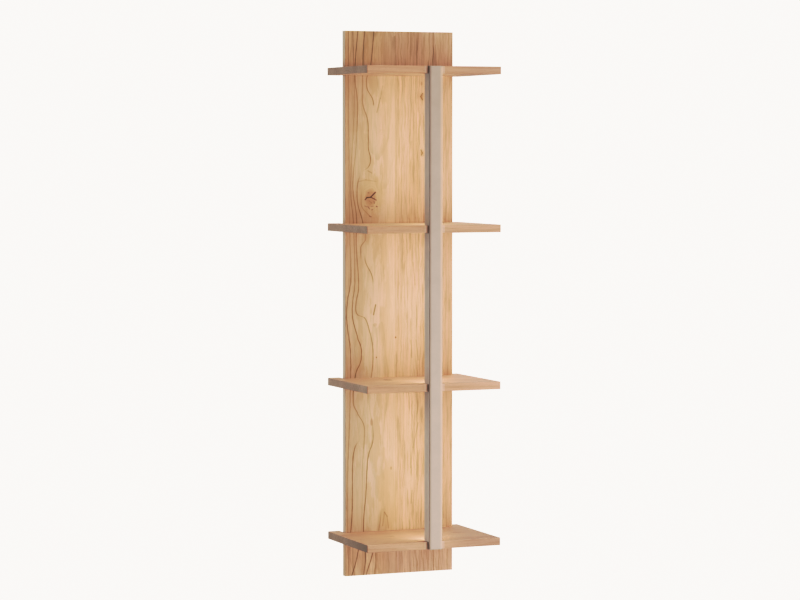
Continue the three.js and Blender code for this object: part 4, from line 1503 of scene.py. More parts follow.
def turned(profile: Sequence[Share], sides: int) -> list[Ring]:
    """Circles of a turned body, one for each pair of radius and level."""
    return [circle(radius, level, sides) for radius, level in profile]


def waved(radius: float, height: float, sides: int, waves: int, dip: float) -> Ring:
    """A circle whose radius dips a number of times by a share of itself."""
    turns = [FULL_TURN * side / sides for side in range(sides)]
    return around([radius * (1.0 - dip * (1.0 - math.cos(waves * turn)) / 2.0) for turn in turns], height)


def hexagon(across_corners: float, height: float, sides: int, most: float = math.inf) -> Ring:
    """Makes a hexagon, its corners cut back to a radius.

    Args:
        across_corners: From corner to corner.
        height: Its level.
        sides: How many points it has.
        most: The radius that its corners are cut back to.

    Returns:
        Its points.
    """
    twelfth = math.pi / 6.0
    flat = across_corners / 2.0 * math.cos(twelfth)
    turns = [FULL_TURN * side / sides for side in range(sides)]
    radii = [min(flat / math.cos((turn + twelfth) % (2.0 * twelfth) - twelfth), most) for turn in turns]
    return around(radii, height)


def rounded_ring(half_x: float, half_y: float, radius: float, height: float, steps: int = 4) -> Ring:
    """Makes a rectangle with round corners.

    Args:
        half_x: Half of its width.
        half_y: Half of its depth.
        radius: Radius of its corners.
        height: Its level.
        steps: Points in each corner.

    Returns:
        Its points.
    """
    ring = []
    for corner in range(4):
        middle_x = (half_x - radius) * (1.0 if corner in (0, 3) else -1.0)
        middle_y = (half_y - radius) * (1.0 if corner in (0, 1) else -1.0)
        for step in range(steps):
            turn = (corner + step / (steps - 1)) * QUARTER_TURN
            x, y = middle_x + radius * math.cos(turn), middle_y + radius * math.sin(turn)
            ring.append(Vector((x, y, height)))
    return ring


def block(half_x: float, half_y: float, low: float, high: float, radius: float, ease: float) -> Body:
    """A block with round corners and eased ends.

    Args:
        half_x: Half of its width.
        half_y: Half of its depth.
        low: Level of its foot.
        high: Level of its top.
        radius: Radius of its upright corners.
        ease: How far its end faces are eased.

    Returns:
        The block.
    """
    small = max(radius - ease, ease * 0.3)
    part = ease * 0.3
    return loft([
        rounded_ring(half_x - ease, half_y - ease, small, low),
        rounded_ring(half_x - part, half_y - part, radius - part, low + part),
        rounded_ring(half_x, half_y, radius, low + ease),
        rounded_ring(half_x, half_y, radius, high - ease),
        rounded_ring(half_x - part, half_y - part, radius - part, high - part),
        rounded_ring(half_x - ease, half_y - ease, small, high),
    ])


def thread(high: float, low: float, core: float, major: float, pitch: float, tip: float,
           sides: int) -> list[Ring]:
    """Rings of a thread that runs down from one level to another.

    Args:
        high: Level of its upper end.
        low: Level of its lower end.
        core: Radius at its root.
        major: Radius at its crest.
        pitch: From one turn to the next.
        tip: Length of the point at its lower end.
        sides: Points in each ring.

    Returns:
        The rings, from the upper end down.
    """
    steps = round((high - low) / pitch * THREAD_STEPS)
    rings = []
    for step in range(steps + 1):
        height = high + (low - high) * step / steps
        narrow = min(1.0, (height - low) / tip + 0.06)
        start = min(1.0, (high - height) / pitch)
        phases = [(height / pitch - side / sides) % 1.0 for side in range(sides)]
        ridges = [max(0.0, 1.0 - abs(phase - 0.5) / 0.3) * start for phase in phases]
        rings.append(around([(core + (major - core) * ridge) * narrow for ridge in ridges], height))
    return rings


def new_piece(name: str, shape: Body, finish: Finish) -> Piece:
    """Makes an object of a body.

    Args:
        name: The object's name.
        shape: The body, which is freed.
        finish: Its material.

    Returns:
        The object, smooth shaded but for its sharp edges.
    """
    mesh = bpy.data.meshes.new(name)
    shape.to_mesh(mesh)
    shape.free()
    mesh.materials.append(finish)
    mesh.shade_smooth()
    mesh.set_sharp_from_angle(angle=SHARP_EDGE)
    return add_object(name, mesh)


def placing_tree() -> Tree:
    """Builds the Geometry Nodes that stand a copy of a pattern on every point.

    Returns:
        The tree. Each copy has a chance twist of its own, up to the Twist input.
    """
    tree = bpy.data.node_groups.new("place_copies", "GeometryNodeTree")
    kinds = {"Geometry": "NodeSocketGeometry", "Pattern": "NodeSocketObject", "Turn": "NodeSocketVector",
             "Twist": "NodeSocketFloat", "Seed": "NodeSocketInt", "Finish": "NodeSocketMaterial"}
    for title, kind in kinds.items():
        tree.interface.new_socket(title, in_out="INPUT", socket_type=kind)
    tree.interface.new_socket("Geometry", in_out="OUTPUT", socket_type="NodeSocketGeometry")
    g = Graph(tree)
    entry = g.add("NodeGroupInput").outputs
    pattern = g.add("GeometryNodeObjectInfo", {"Object": entry["Pattern"]})
    feeds = {"Points": entry["Geometry"], "Instance": pattern.outputs["Geometry"], "Rotation": entry["Turn"]}
    copies = g.add("GeometryNodeInstanceOnPoints", feeds)
    feeds = {2: 0.0, 3: entry["Twist"], 8: entry["Seed"]}
    chance = g.add("FunctionNodeRandomValue", feeds, data_type="FLOAT")
    spin = g.join(0.0, 0.0, chance.outputs[1])
    feeds = {"Instances": copies.outputs[0], "Rotation": spin, "Local Space": True}
    spun = g.add("GeometryNodeRotateInstances", feeds)
    real = g.add("GeometryNodeRealizeInstances", {"Geometry": spun.outputs[0]})
    coated = g.add("GeometryNodeSetMaterial", {"Geometry": real.outputs[0], "Material": entry["Finish"]})
    g.add("NodeGroupOutput", {"Geometry": coated.outputs[0]})
    return tree


PLACING = placing_tree()


def place_copies(name: str, places: Sequence[Point], pattern: Body, finish: Finish,
                 turn: Point = (0.0, 0.0, 0.0), twist: float = 0.0, seed: int = 0) -> Piece:
    """Stands a copy of a body at each place, as one mesh.

    Args:
        name: The piece's name.
        places: Where the copies go.
        pattern: The body, which is freed.
        finish: The material of the copies.
        turn: How each copy is turned, in radians.
        twist: The most that a copy is twisted about its own length.
        seed: Sets the twists.

    Returns:
        The piece, with its modifier already applied.
    """
    points = bpy.data.meshes.new(f"{name}_places")
    points.from_pydata([tuple(place) for place in places], [], [])
    piece = add_object(name, points)
    original = new_piece(f"{name}_pattern", pattern, finish)
    copies = piece.modifiers.new("copies", "NODES")
    copies.node_group = PLACING
    values = {"Pattern": original, "Turn": turn, "Twist": twist, "Seed": seed, "Finish": finish}
    for socket in PLACING.interface.items_tree:
        if socket.in_out == "INPUT" and socket.name in values:
            copies[socket.identifier] = values[socket.name]
    depsgraph = bpy.context.evaluated_depsgraph_get()
    mesh = bpy.data.meshes.new_from_object(piece.evaluated_get(depsgraph), depsgraph=depsgraph)
    piece.modifiers.clear()
    piece.data = mesh
    mesh.name = name
    pattern_mesh = original.data
    bpy.data.objects.remove(original)
    for spent in (points, pattern_mesh):
        bpy.data.meshes.remove(spent)
    return piece


def settle(piece: Piece, slot: str, *nodes: str) -> None:
    """Joins a finished piece to the object.

    Args:
        piece: The piece.
        slot: A material slot's name, not used.
        nodes: The nodes that it stands for, if any.
    """
    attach(piece, "root")
    if nodes:
        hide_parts(*nodes)
    log.info("piece %s: %d faces", piece.name, len(piece.data.polygons))


def dress(node: str, material: Finish) -> None:
    """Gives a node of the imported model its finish."""
    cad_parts[node].material_slots[0].material = material
    log.info("dressed %s", node)


def smooth_copy(node: str, name: str, finish: Finish) -> Piece:
    """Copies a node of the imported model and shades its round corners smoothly.

    Args:
        node: The node.
        name: Name of the copy.
        finish: The copy's material.

    Returns:
        The copy, merged, with its faces weighted by their size.
    """
    shape = bmesh.new()
    shape.from_mesh(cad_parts[node].data)
    bmesh.ops.remove_doubles(shape, verts=shape.verts, dist=1e-6)
    bmesh.ops.recalc_face_normals(shape, faces=shape.faces)
    piece = new_piece(name, shape, finish)
    weighted = piece.modifiers.new("weighted", "WEIGHTED_NORMAL")
    weighted.keep_sharp = True
    return piece


# Fixings


@dataclass(frozen=True)
class WoodScrew:
    """A countersunk wood screw with a six-lobed socket, a plain shank and a cut thread. It points down.

    The thread's length is a share of the screw's, and the socket's width a share of the head's. The other
    shares are of the thread's diameter.
    """

    length: float
    diameter: float
    head: float
    thread_share: float = 0.6
    shank_share: float = 0.8
    core_share: float = 0.66
    socket_share: float = 0.5
    socket_depth_share: float = 0.4
    pitch_share: float = 0.5
    tip_share: float = 1.2
    sides: int = 24

    def shape(self) -> Body:
        """Builds the screw with the face of its head at level zero.

        Returns:
            The screw.
        """
        radius = self.diameter / 2.0
        shank = radius * self.shank_share
        socket = self.head * self.socket_share / 2.0
        floor = -self.diameter * self.socket_depth_share
        rim = self.head * 0.025
        top = self.length * (self.thread_share - 1.0)
        lobes = ((socket * 0.3, floor * 1.1, 0.0), (socket * 0.92, floor, 0.2), (socket, -rim, 0.2),
                 (socket + rim, 0.0, 0.16))
        rings = [waved(wide, level, self.sides, 6, dip) for wide, level, dip in lobes]
        half = self.head / 2.0
        rings += turned(((half - rim, 0.0), (half - rim * 0.4, -rim * 0.4), (shank, shank - half),
                         (shank, top)), self.sides)
        rings += thread(top, -self.length, radius * self.core_share, radius, self.diameter * self.pitch_share,
                        self.diameter * self.tip_share, self.sides)
        return loft(rings)


@dataclass(frozen=True)
class Dowel:
    """A fluted beech dowel with chamfered ends. It points down from level zero."""

    length: float = 40 * MM
    diameter: float = 8 * MM
    chamfer: float = 1 * MM
    flutes: int = 16
    flute_depth: float = 0.28 * MM

    def ring(self, radius: float, height: float, depth: float) -> Ring:
        """One ring, with a groove at every third point."""
        points = range(self.flutes * 3)
        return around([radius - (depth if point % 3 == 0 else 0.0) for point in points], height)

    def shape(self) -> Body:
        """Builds the dowel.

        Returns:
            The dowel.
        """
        radius = self.diameter / 2.0
        end = radius - self.chamfer
        return loft([self.ring(*line) for line in (
            (end * 0.3, 0.0, 0.0),
            (end, 0.0, 0.0),
            (radius, -self.chamfer, self.flute_depth),
            (radius, self.chamfer - self.length, self.flute_depth),
            (end, -self.length, 0.0),
            (end * 0.3, -self.length, 0.0),
        )])


@dataclass(frozen=True)
class RivetNut:
    """A rivet nut for the spine's rear wall: flange, knurled neck, and the bulge that grips behind."""

    flange: float = 13 * MM
    flange_thickness: float = 1.2 * MM
    body: float = 9 * MM
    bulge: float = 11.5 * MM
    bulge_length: float = 3.5 * MM
    length: float = 14 * MM
    bore: float = 6.6 * MM
    wall: float = 3.3 * MM
    sides: int = 36

    def shape(self) -> Body:
        """Builds the nut with the back of its flange at level zero.

        Returns:
            The nut.
        """
        face = self.flange_thickness
        foot = face - self.length
        ease = 0.3 * MM
        grip = -self.wall - self.bulge_length
        half, bore, bulge, flange = self.body / 2.0, self.bore / 2.0, self.bulge / 2.0, self.flange / 2.0
        body = ((bore, foot + ease), (bore + ease, foot), (half - ease, foot), (half, foot + ease),
                (half, grip), (bulge - ease, grip + ease), (bulge, grip + self.bulge_length / 2.0),
                (bulge - ease, -self.wall - ease), (half, -self.wall))
        rim = ((flange - ease, 0.0), (flange, ease), (flange - ease, face), (bore + ease, face),
               (bore, face - ease))
        knurl = waved(half, -ease, self.sides, 18, 0.04)
        return loft([*turned(body, self.sides), knurl, *turned(rim, self.sides)], closed=True)


@dataclass(frozen=True)
class CamBolt:
    """The bolt that a cam draws on: thread, collar, neck and head. It points down."""

    thread_diameter: float = 6 * MM
    thread_length: float = 10 * MM
    start: float = 1.2 * MM
    collar: float = 7 * MM
    neck: float = 4 * MM
    neck_length: float = 5 * MM
    head: float = 6.4 * MM
    head_length: float = 3 * MM
    reach: float = 25.5 * MM
    sides: int = 24

    def shape(self) -> Body:
        """Builds the bolt, its collar starting a flange's thickness above level zero.

        Returns:
            The bolt.
        """
        ease = 0.4 * MM
        neck_end = self.reach - self.head_length
        collar_end = neck_end - self.neck_length
        head, neck, collar = self.head / 2.0, self.neck / 2.0, self.collar / 2.0
        floor = self.reach - 1.2 * MM
        lobes = ((head * 0.3, floor, 0.0), (head * 0.5, floor, 0.2), (head * 0.55, self.reach, 0.2))
        rings = [waved(wide, level, self.sides, 6, dip) for wide, level, dip in lobes]
        rings += turned((
            (head - ease, self.reach), (head, self.reach - ease), (head, neck_end + ease),
            (head - ease, neck_end), (neck, neck_end), (neck, collar_end), (collar - ease, collar_end),
            (collar, collar_end - ease), (collar, self.start),
        ), self.sides)
        radius = self.thread_diameter / 2.0
        rings += thread(self.start, self.start - self.thread_length, radius * 0.84, radius, 1.0 * MM,
                        0.6 * MM, self.sides)
        return loft(rings)


@dataclass
class Fixings:
    """Every screw, dowel, nut, bolt and cam, each kind one piece that stands at its nodes' places."""

    shelf_screw: WoodScrew = WoodScrew(60 * MM, 5 * MM, 10 * MM)
    batten_screw: WoodScrew = WoodScrew(45 * MM, 4 * MM, 8 * MM)
    driver_screw: WoodScrew = WoodScrew(16 * MM, 3.5 * MM, 7 * MM)
    dowel: Dowel = Dowel()
    nut: RivetNut = RivetNut()
    bolt: CamBolt = CamBolt()
    shelves: int = 4
    towards_wall: Point = (-QUARTER_TURN, 0.0, 0.0)

    def heads(self, nodes: Sequence[str]) -> list[Point]:
        """Finds where each node's head or upper end is.

        Args:
            nodes: The nodes.

        Returns:
            The middle of the wall side of each.
        """
        boxes = [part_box(node) for node in nodes]
        return [((low[0] + high[0]) / 2.0, high[1], (low[2] + high[2]) / 2.0) for low, high in boxes]

    def build(self, palette: Palette) -> None:
        """Builds each kind of fixing.

        Args:
            palette: The finishes.
        """
        numbers = range(1, self.shelves + 1)
        sides = ("left", "right")
        shelf_screws = [f"shelf_{number}_screw_{side}" for number in numbers for side in sides]
        dowels = [f"shelf_{number}_dowel_{side}" for number in numbers for side in sides]
        batten_screws = [f"hanger_screw_{number}" for number in (1, 2, 3)]
        batten_screws += [f"spacer_screw_{number}" for number in (1, 2)]
        driver_screws = [f"driver_screw_{number}" for number in (1, 2)]
        kinds = (
            ("shelf_screws", shelf_screws, self.shelf_screw.shape(), palette.steel, "screw_steel"),
            ("batten_screws", batten_screws, self.batten_screw.shape(), palette.steel, "screw_steel"),
            ("driver_screws", driver_screws, self.driver_screw.shape(), palette.steel, "screw_steel"),
            ("dowels", dowels, self.dowel.shape(), palette.beech, "dowel_beech"),
        )
        for seed, (name, nodes, shape, finish, slot) in enumerate(kinds):
            piece = place_copies(name, self.heads(nodes), shape, finish, self.towards_wall, math.pi, seed)
            settle(piece, slot, *nodes)
        self.spine_fixings(palette)

    def spine_fixings(self, palette: Palette) -> None:
        """Builds the nuts and bolts in the spine, and dresses the cams in the shelves.

        Args:
            palette: The finishes.
        """
        numbers = range(1, self.shelves + 1)
        nuts = [f"spine_nut_{number}" for number in numbers]
        bolts = [f"cam_bolt_{number}" for number in numbers]
        wall = [(x, y - self.nut.flange_thickness, z) for x, y, z in self.heads(nuts)]
        for name, nodes, shape, seed in (("spine_nuts", nuts, self.nut.shape(), 7),
                                         ("cam_bolts", bolts, self.bolt.shape(), 8)):
            piece = place_copies(name, wall, shape, palette.steel, self.towards_wall, math.pi, seed)
            settle(piece, "screw_steel", *nodes)
        for number in numbers:
            dress(f"cam_{number}", palette.zinc)


# Sub-assemblies


@dataclass
class BackBoard:
    """The tall board behind the shelves."""

    def build(self, palette: Palette) -> None:
        """Dresses the board."""
        dress("back_board", palette.board)


@dataclass
class Shelves:
    """The four shelves that are notched round the board."""

    count: int = 4

    def levels(self) -> list[float]:
        """Middle level of each shelf, from the top down."""
        boxes = [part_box(f"shelf_{number}") for number in range(1, self.count + 1)]
        return [(low[2] + high[2]) / 2 for low, high in boxes]

    def build(self, palette: Palette) -> None:
        """Dresses each shelf in timber of its own."""
        for number in range(1, self.count + 1):
            dress(f"shelf_{number}", palette.shelves[number - 1])


@dataclass
class Spine:
    """The upright metal profile and its caps."""

    def build(self, palette: Palette) -> None:
        """Copies the tube and its caps with smooth corners.

        Args:
            palette: The finishes.
        """
        settle(smooth_copy("spine_tube", "spine_profile", palette.spine), "spine_metal", "spine_tube")
        for end in ("top", "bottom"):
            node = f"spine_cap_{end}"
            settle(smooth_copy(node, f"end_cap_{end}", palette.cap), "cap_plastic", node)


@dataclass
class BayLights:
    """The light of each bay: its channel, strip and cover, and what it sends out.

    The chips stand at least chip_pitch apart, each with a resistor above it. The power is in watts.
    """

    count: int = 3
    power: float = 0.68
    colour: Colour = (1.0, 0.97, 0.91)
    tape_thickness: float = 0.6 * MM
    tape_neck: float = 0.4 * MM
    chip_pitch: float = 22 * MM
    chip: float = 3 * MM
    chip_height: float = 0.8 * MM
    resistor_rise: float = 6.5 * MM
    towards_wall: Point = (-QUARTER_TURN, 0.0, 0.0)

    def build(self, palette: Palette) -> None:
        """Dresses each light, builds its strip and switches it on.

        Args:
            palette: The finishes.
        """
        for number in range(1, self.count + 1):
            dress(f"light_channel_{number}", palette.aluminium)
            dress(f"light_diffuser_{number}", palette.opal)
            self.shine(number)
        self.strips(palette)

    def strips(self, palette: Palette) -> None:
        """Builds the tapes and stands their chips, lenses, resistors and solder pads on them.

        Args:
            palette: The finishes.
        """
        tapes = []
        chips: list[Point] = []
        cuts: list[Point] = []
        for number in range(1, self.count + 1):
            low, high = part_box(f"light_strip_{number}")
            face = low[1] + self.tape_thickness
            steps = int((high[2] - low[2]) / self.chip_pitch)
            pitch = (high[2] - low[2]) / steps
            chips += [(0.0, face, low[2] + pitch * (step + 0.5)) for step in range(steps)]
            here = [(0.0, face, low[2] + pitch * step) for step in range(1, steps)]
            cuts += here
            tapes.append(self.tape((high[0] - low[0]) / 2.0, low, high, [z for _, _, z in here]))
        nodes = [f"light_strip_{number}" for number in range(1, self.count + 1)]
        settle(new_piece("light_tapes", merged(tapes), palette.tape), "light_strip", *nodes)
        resistors = [(2.4 * MM, y, z + self.resistor_rise) for _, y, z in chips]
        resistor = block(0.6 * MM, 1.0 * MM, 0.0, 0.5 * MM, 0.15 * MM, 0.08 * MM)
        for name, places, shape, finish in (
            ("light_chips", chips, self.chip_shape(), palette.ceramic),
            ("chip_lenses", chips, self.lens_shape(), palette.phosphor),
            ("strip_resistors", resistors, resistor, palette.black),
            ("solder_pads", cuts, self.pads_shape(), palette.copper),
        ):
            settle(place_copies(name, places, shape, finish, self.towards_wall), "light_strip")

    def tape(self, half: float, low: Vector, high: Vector, cuts: Sequence[float]) -> Body:
        """Builds one strip's flexible board, narrowed a little at each place where it may be cut.

        Args:
            half: Half of its width.
            low: Lowest corner of the strip.
            high: Highest corner of the strip.
            cuts: Levels at which it may be cut.

        Returns:
            The board.
        """
        levels = [(low[2], half)]
        for cut in cuts:
            levels += [(cut - 0.5 * MM, half), (cut - 0.3 * MM, half - self.tape_neck)]
            levels += [(cut + 0.3 * MM, half - self.tape_neck), (cut + 0.5 * MM, half)]
        levels.append((high[2], half))
        thick = self.tape_thickness / 2.0
        rings = [rounded_ring(wide, thick, 0.1 * MM, level, 2) for level, wide in levels]
        return shifted(loft(rings), 0.0, low[1] + thick, 0.0)

    def chip_shape(self) -> Body:
        """The white frame of a chip, its well sunk a little."""
        half, top = self.chip / 2.0, self.chip_height
        return loft([rounded_ring(half - inset * MM, half - inset * MM, radius * MM, level, 3) for
                     inset, radius, level in ((0.0, 0.2, 0.0), (0.0, 0.2, top - 0.06 * MM), (0.06, 0.2, top),
                                              (0.35, 0.5, top), (0.45, 0.5, top - 0.3 * MM))])

    def lens_shape(self) -> Body:
        """The yellow lens in a chip's well."""
        half, foot = self.chip / 2.0 - 0.5 * MM, self.chip_height - 0.3 * MM
        return loft([rounded_ring(half * share, half * share, radius * MM, foot + rise * MM, 3) for
                     share, radius, rise in ((1.0, 0.5, 0.0), (1.0, 0.5, 0.12), (0.6, 0.4, 0.2))])

    def pads_shape(self) -> Body:
        """The two copper pads at a cut mark."""
        pads = [block(0.8 * MM, 1.5 * MM, -0.02 * MM, 0.05 * MM, 0.3 * MM, 0.02 * MM) for _ in range(2)]
        return merged([shifted(pads[0], -2.2 * MM, 0.0, 0.0), shifted(pads[1], 2.2 * MM, 0.0, 0.0)])

    def shine(self, number: int) -> None:
        """Sends light from the face of one cover towards the board.

        Args:
            number: The bay, from the top down.
        """
        low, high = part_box(f"light_diffuser_{number}")
        place = ((low[0] + high[0]) / 2, high[1] + 0.5 * MM, (low[2] + high[2]) / 2)
        size = (high[0] - low[0], high[2] - low[2])
        turn = Euler((QUARTER_TURN, 0.0, 0.0))
        soft_light(f"bay_light_{number}", place, turn, size, self.power, self.colour)


@dataclass
class WallFixing:
    """The battens that hang the board and keep its foot off the wall."""

    def build(self, palette: Palette) -> None:
        """Dresses the battens."""
        for node in ("wall_batten", "hanger_batten", "spacer_batten"):
            dress(node, palette.batten)


@dataclass
class SupplyUnit:
    """The lights' supply unit on the board's back, with its lid ribs, fixing tabs and cord gland.

    The nut's share is of the gland's height, and the top's share is of the gland's width.
    """

    radius: float = 4 * MM
    rib_rise: float = 0.8 * MM
    rib_count: int = 8
    tab_length: float = 12 * MM
    tab_thickness: float = 3 * MM
    screw_clear: float = 4.1 * MM
    screw_head: float = 7.6 * MM
    gland_bore: float = 7 * MM
    nut_share: float = 0.45
    top_share: float = 0.8

    def build(self, palette: Palette) -> None:
        """Builds the case with its tabs, the ribs on its lid, and the gland.

        Args:
            palette: The finishes.
        """
        low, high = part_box("light_driver")
        foot, top = low[2] + self.tab_length, high[2] - self.tab_length
        bodies = [self.case(low, high, foot, top)]
        for inner, outer in ((foot, low[2]), (top, high[2])):
            bodies.append(self.tab(low, high, inner, outer))
        settle(new_piece("supply_case", merged(bodies), palette.housing), "driver_housing", "light_driver")
        places = []
        face = high[1] - self.rib_rise
        for step in range(self.rib_count):
            rise = (14 + 5 * step) * MM
            places += [(0.0, face, foot + rise), (0.0, face, top - rise)]
        rib = block(17 * MM, 0.9 * MM, -0.2 * MM, self.rib_rise, 0.9 * MM, 0.3 * MM)
        ribs = place_copies("lid_ribs", places, rib, palette.housing, (-QUARTER_TURN, 0.0, 0.0))
        settle(ribs, "driver_housing")
        settle(new_piece("cord_gland", self.gland(), palette.black), "black_plastic", "mains_gland")

    def section(self, half_x: float, half_y: float, inset: float, height: float) -> Ring:
        """Makes the case's outline at one level, with its lid's seam as a groove down each side.

        Args:
            half_x: Half of the case's width.
            half_y: Half of its depth.
            inset: How far this outline is drawn in.
            height: Its level.

        Returns:
            Its points.
        """
        ring = rounded_ring(half_x - inset, half_y - inset, max(self.radius - inset, 0.5 * MM), height, 5)
        groove = ((0.5 * MM, 0.0), (0.0, 0.6 * MM), (-0.5 * MM, 0.0))
        left = [Vector((inset - half_x + deep, y, height)) for y, deep in groove]
        right = [Vector((half_x - inset - deep, -y, height)) for y, deep in groove]
        return ring[:10] + left + ring[10:] + right

    def case(self, low: Vector, high: Vector, foot: float, top: float) -> Body:
        """Builds the case itself, with rounded ends.

        Args:
            low: Lowest corner of the unit.
            high: Highest corner of the unit.
            foot: Level of the case's foot.
            top: Level of its top.

        Returns:
            The case.
        """
        half_x = (high[0] - low[0]) / 2.0
        half_y = (high[1] - low[1] - self.rib_rise) / 2.0
        steps = ((0.0, 1.6), (0.5, 0.7), (1.1, 0.2), (1.8, 0.0))
        levels = [(foot + rise * MM, inset * MM) for rise, inset in steps]
        levels += [(top - rise * MM, inset * MM) for rise, inset in reversed(steps)]
        body = loft([self.section(half_x, half_y, inset, level) for level, inset in levels])
        return shifted(body, 0.0, low[1] + half_y, 0.0)

    def tab(self, low: Vector, high: Vector, inner: float, outer: float) -> Body:
        """One tab: a rounded plate with a countersunk hole, reaching a little into the case.

        Args:
            low: Lowest corner of the unit.
            high: Highest corner of the unit.
            inner: Level of the case's end.
            outer: Level of the tab's end.

        Returns:
            The tab, standing against the board.
        """
        under = inner + math.copysign(3 * MM, inner - outer)
        middle = (under + outer) / 2.0
        hole = (inner + outer) / 2.0 - middle
        half_x = (high[0] - low[0]) / 2.0 - self.radius
        half_z = abs(outer - under) / 2.0
        ease, thick, corner = 0.4 * MM, self.tab_thickness, 3 * MM
        outline = rounded_ring(half_x, half_z, corner, 0.0, 6)
        turns = [math.atan2(point.y, point.x) for point in outline]
        clear, head = self.screw_clear / 2.0, self.screw_head / 2.0
        plate = loft([
            rounded_ring(half_x - ease, half_z - ease, corner - ease, thick, 6),
            rounded_ring(half_x, half_z, corner, thick - ease, 6),
            outline,
            *(self.hole_ring(turns, radius, level, hole)
              for radius, level in ((clear, 0.0), (clear, thick - 2.1 * MM), (head, thick))),
        ], closed=True)
        return self.upright(plate, low[1], middle)

    def hole_ring(self, turns: Sequence[float], radius: float, height: float, middle: float) -> Ring:
        """One ring of a tab's hole, at the directions given."""
        return [Vector((math.cos(turn) * radius, math.sin(turn) * radius + middle, height)) for turn in turns]

    def upright(self, plate: Body, back: float, level: float) -> Body:
        """Stands a flat plate against the board, its upper face towards the wall.

        Args:
            plate: The plate.
            back: How deep the board's back is.
            level: Level of the plate's middle.

        Returns:
            The plate.
        """
        for vertex in plate.verts:
            x, y, z = vertex.co
            vertex.co = Vector((x, back + z, level + y))
        bmesh.ops.recalc_face_normals(plate, faces=plate.faces)
        return plate

    def gland(self) -> Body:
        """Builds the gland: a hexagonal nut, a domed top and a bore through both.

        Returns:
            The gland.
        """
        low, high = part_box("mains_gland")
        size, tall, sides = high[0] - low[0], high[2] - low[2], 24
        nut = tall * self.nut_share
        bore, top = self.gland_bore / 2.0, size * self.top_share / 2.0
        body = loft([
            circle(bore, 0.0, sides),
            hexagon(size, 0.0, sides, size / 2.0 * 0.95),
            hexagon(size, 0.5 * MM, sides),
            hexagon(size, nut - 0.5 * MM, sides),
            hexagon(size, nut, sides, size / 2.0 * 0.92),
            circle(top * 1.02, nut, sides),
            waved(top * 1.02, nut + 0.4 * MM, sides, 12, 0.05),
            waved(top, tall - 2.2 * MM, sides, 12, 0.05),
            *turned(((top * 0.96, tall - 1.2 * MM), (top * 0.86, tall - 0.3 * MM), (bore + 0.4 * MM, tall),
                     (bore, tall - 0.4 * MM)), sides),
        ], closed=True)
        return shifted(body, (low[0] + high[0]) / 2.0, (low[1] + high[1]) / 2.0, low[2])


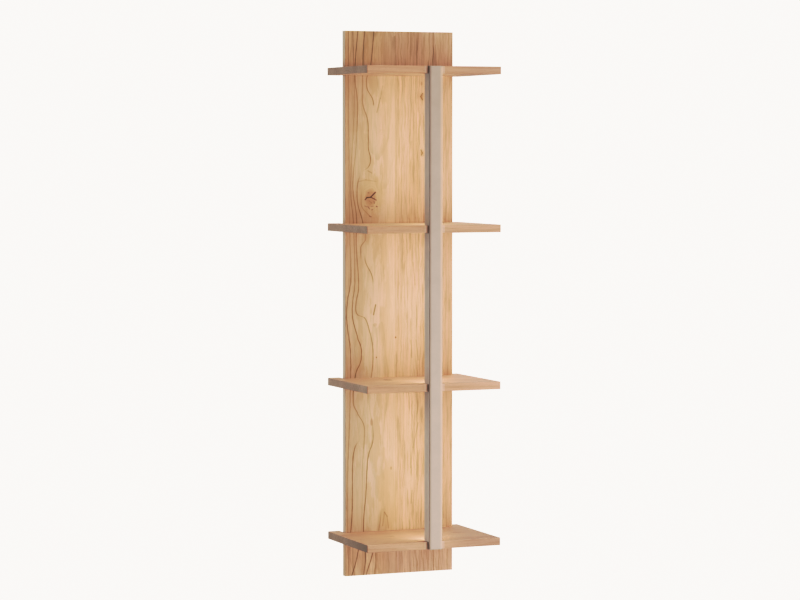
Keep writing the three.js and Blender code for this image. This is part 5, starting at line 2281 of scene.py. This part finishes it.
@dataclass
class Lead:
    """The low-voltage lead, held by two saddles behind the board and by bridges in the bottom shelf's groove.

    It starts at a depth and a level at the supply unit, runs forward under the bottom shelf at the groove's
    level, and climbs inside the spine at the rise's depth, up to the end's level.
    """

    diameter: float = 4 * MM
    offset: float = 16 * MM
    bend: float = 9 * MM
    start: tuple[float, float] = (-22 * MM, -1337.97 * MM)
    groove: float = -1510.8 * MM
    rise: float = -362.5 * MM
    end: float = -385.17 * MM
    sides: int = 12
    bend_steps: int = 8

    def quarter(self, y: float, z: float, first: float, last: float) -> list[tuple[Vector, Vector]]:
        """Makes one bend.

        Args:
            y: Depth of its middle.
            z: Level of its middle.
            first: The direction that it starts at.
            last: The direction that it ends at.

        Returns:
            Its points, each with the outward direction there.
        """
        points = []
        for step in range(self.bend_steps + 1):
            turn = first + (last - first) * step / self.bend_steps
            out = Vector((0.0, math.cos(turn), math.sin(turn)))
            points.append((Vector((self.offset, y, z)) + out * self.bend, out))
        return points

    def path(self) -> list[tuple[Vector, Vector]]:
        """Makes the route: down behind the board, forward in the groove and up inside the spine.

        Returns:
            Its points, each with the outward direction there.
        """
        depth, level = self.start
        top = self.groove + self.bend
        points = [(Vector((self.offset, depth, level)), Vector((0.0, 1.0, 0.0)))]
        points += self.quarter(depth - self.bend, top, 0.0, -QUARTER_TURN)
        points += self.quarter(self.rise + self.bend, top, 3.0 * QUARTER_TURN, math.pi)
        points.append((Vector((self.offset, self.rise, self.end)), Vector((0.0, -1.0, 0.0))))
        return points

    def build(self, palette: Palette) -> None:
        """Builds the lead, its saddles and its bridges.

        Args:
            palette: The finishes.
        """
        side, radius = Vector((1.0, 0.0, 0.0)), self.diameter / 2.0
        turns = [FULL_TURN * step / self.sides for step in range(self.sides)]
        rings = [[place + (side * math.cos(turn) + out * math.sin(turn)) * radius for turn in turns]
                 for place, out in self.path()]
        settle(new_piece("supply_lead", loft(rings), palette.sheath), "black_plastic", "light_lead")
        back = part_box("back_board")[1][1]
        saddles = [(self.offset, back, level * MM) for level in (-1390.0, -1460.0)]
        bridges = [(self.offset, depth * MM, self.groove - radius) for depth in (-110.0, -200.0, -290.0)]
        for name, places, shape in (("lead_saddles", saddles, self.saddle(self.start[0] - back)),
                                    ("groove_bridges", bridges, self.bridge())):
            settle(place_copies(name, places, shape, palette.black), "black_plastic")

    def saddle(self, stand: float) -> Body:
        """Builds a saddle: a foot on the board, and a band round the lead that stands off from it.

        Args:
            stand: From the board to the lead's middle.

        Returns:
            The saddle.
        """
        inner, outer = self.diameter / 2.0 + 0.05 * MM, self.diameter / 2.0 + 1.1 * MM
        half, ease = 3 * MM, 0.2 * MM
        band = loft(turned(((inner, -half), (outer - ease, -half), (outer, ease - half), (outer, half - ease),
                            (outer - ease, half), (inner, half)), 24), closed=True)
        post = block(1.4 * MM, half, 0.0, stand - inner - 0.4 * MM, 0.5 * MM, ease)
        foot = block(5 * MM, 4 * MM, 0.0, 1.4 * MM, 1.2 * MM, 0.4 * MM)
        turn = Matrix.Rotation(-QUARTER_TURN, 4, "X")
        return merged([shifted(band, 0.0, stand, 0.0), moved(post, turn), moved(foot, turn)])

    def bridge(self) -> Body:
        """Builds a bridge that is pressed into the groove under the lead, its middle dished for it.

        Returns:
            The bridge.
        """
        half, thick, lip = self.diameter / 2.0 + 0.25 * MM, 1.6 * MM, 0.2 * MM
        outline = ((-half, -thick), (half, -thick), (half, 0.9 * MM), (half * 0.8, lip), (half * 0.4, 0.0),
                   (-half * 0.4, 0.0), (-half * 0.8, lip), (-half, 0.9 * MM))
        rings = []
        for depth, ease in ((-4.0, 0.3), (-3.7, 0.0), (3.7, 0.0), (4.0, 0.3)):
            shrink = 1.0 - ease * 0.12
            rings.append([Vector((x * shrink, depth * MM, z * shrink - 0.1 * MM)) for x, z in outline])
        return loft(rings)


def main() -> None:
    """Builds the studio and dresses every sub-assembly in turn."""
    logging.basicConfig(level=logging.INFO, format="%(name)s: %(message)s")
    Studio().build()
    log.info("studio ready")
    shelves = Shelves()
    palette = Palette(shelves.levels())
    assemblies = (BackBoard(), shelves, Spine(), BayLights(), Fixings(), WallFixing(), SupplyUnit(), Lead())
    for assembly in assemblies:
        assembly.build(palette)
        log.info("built %s", type(assembly).__name__)


if __name__ == "__main__":
    main()
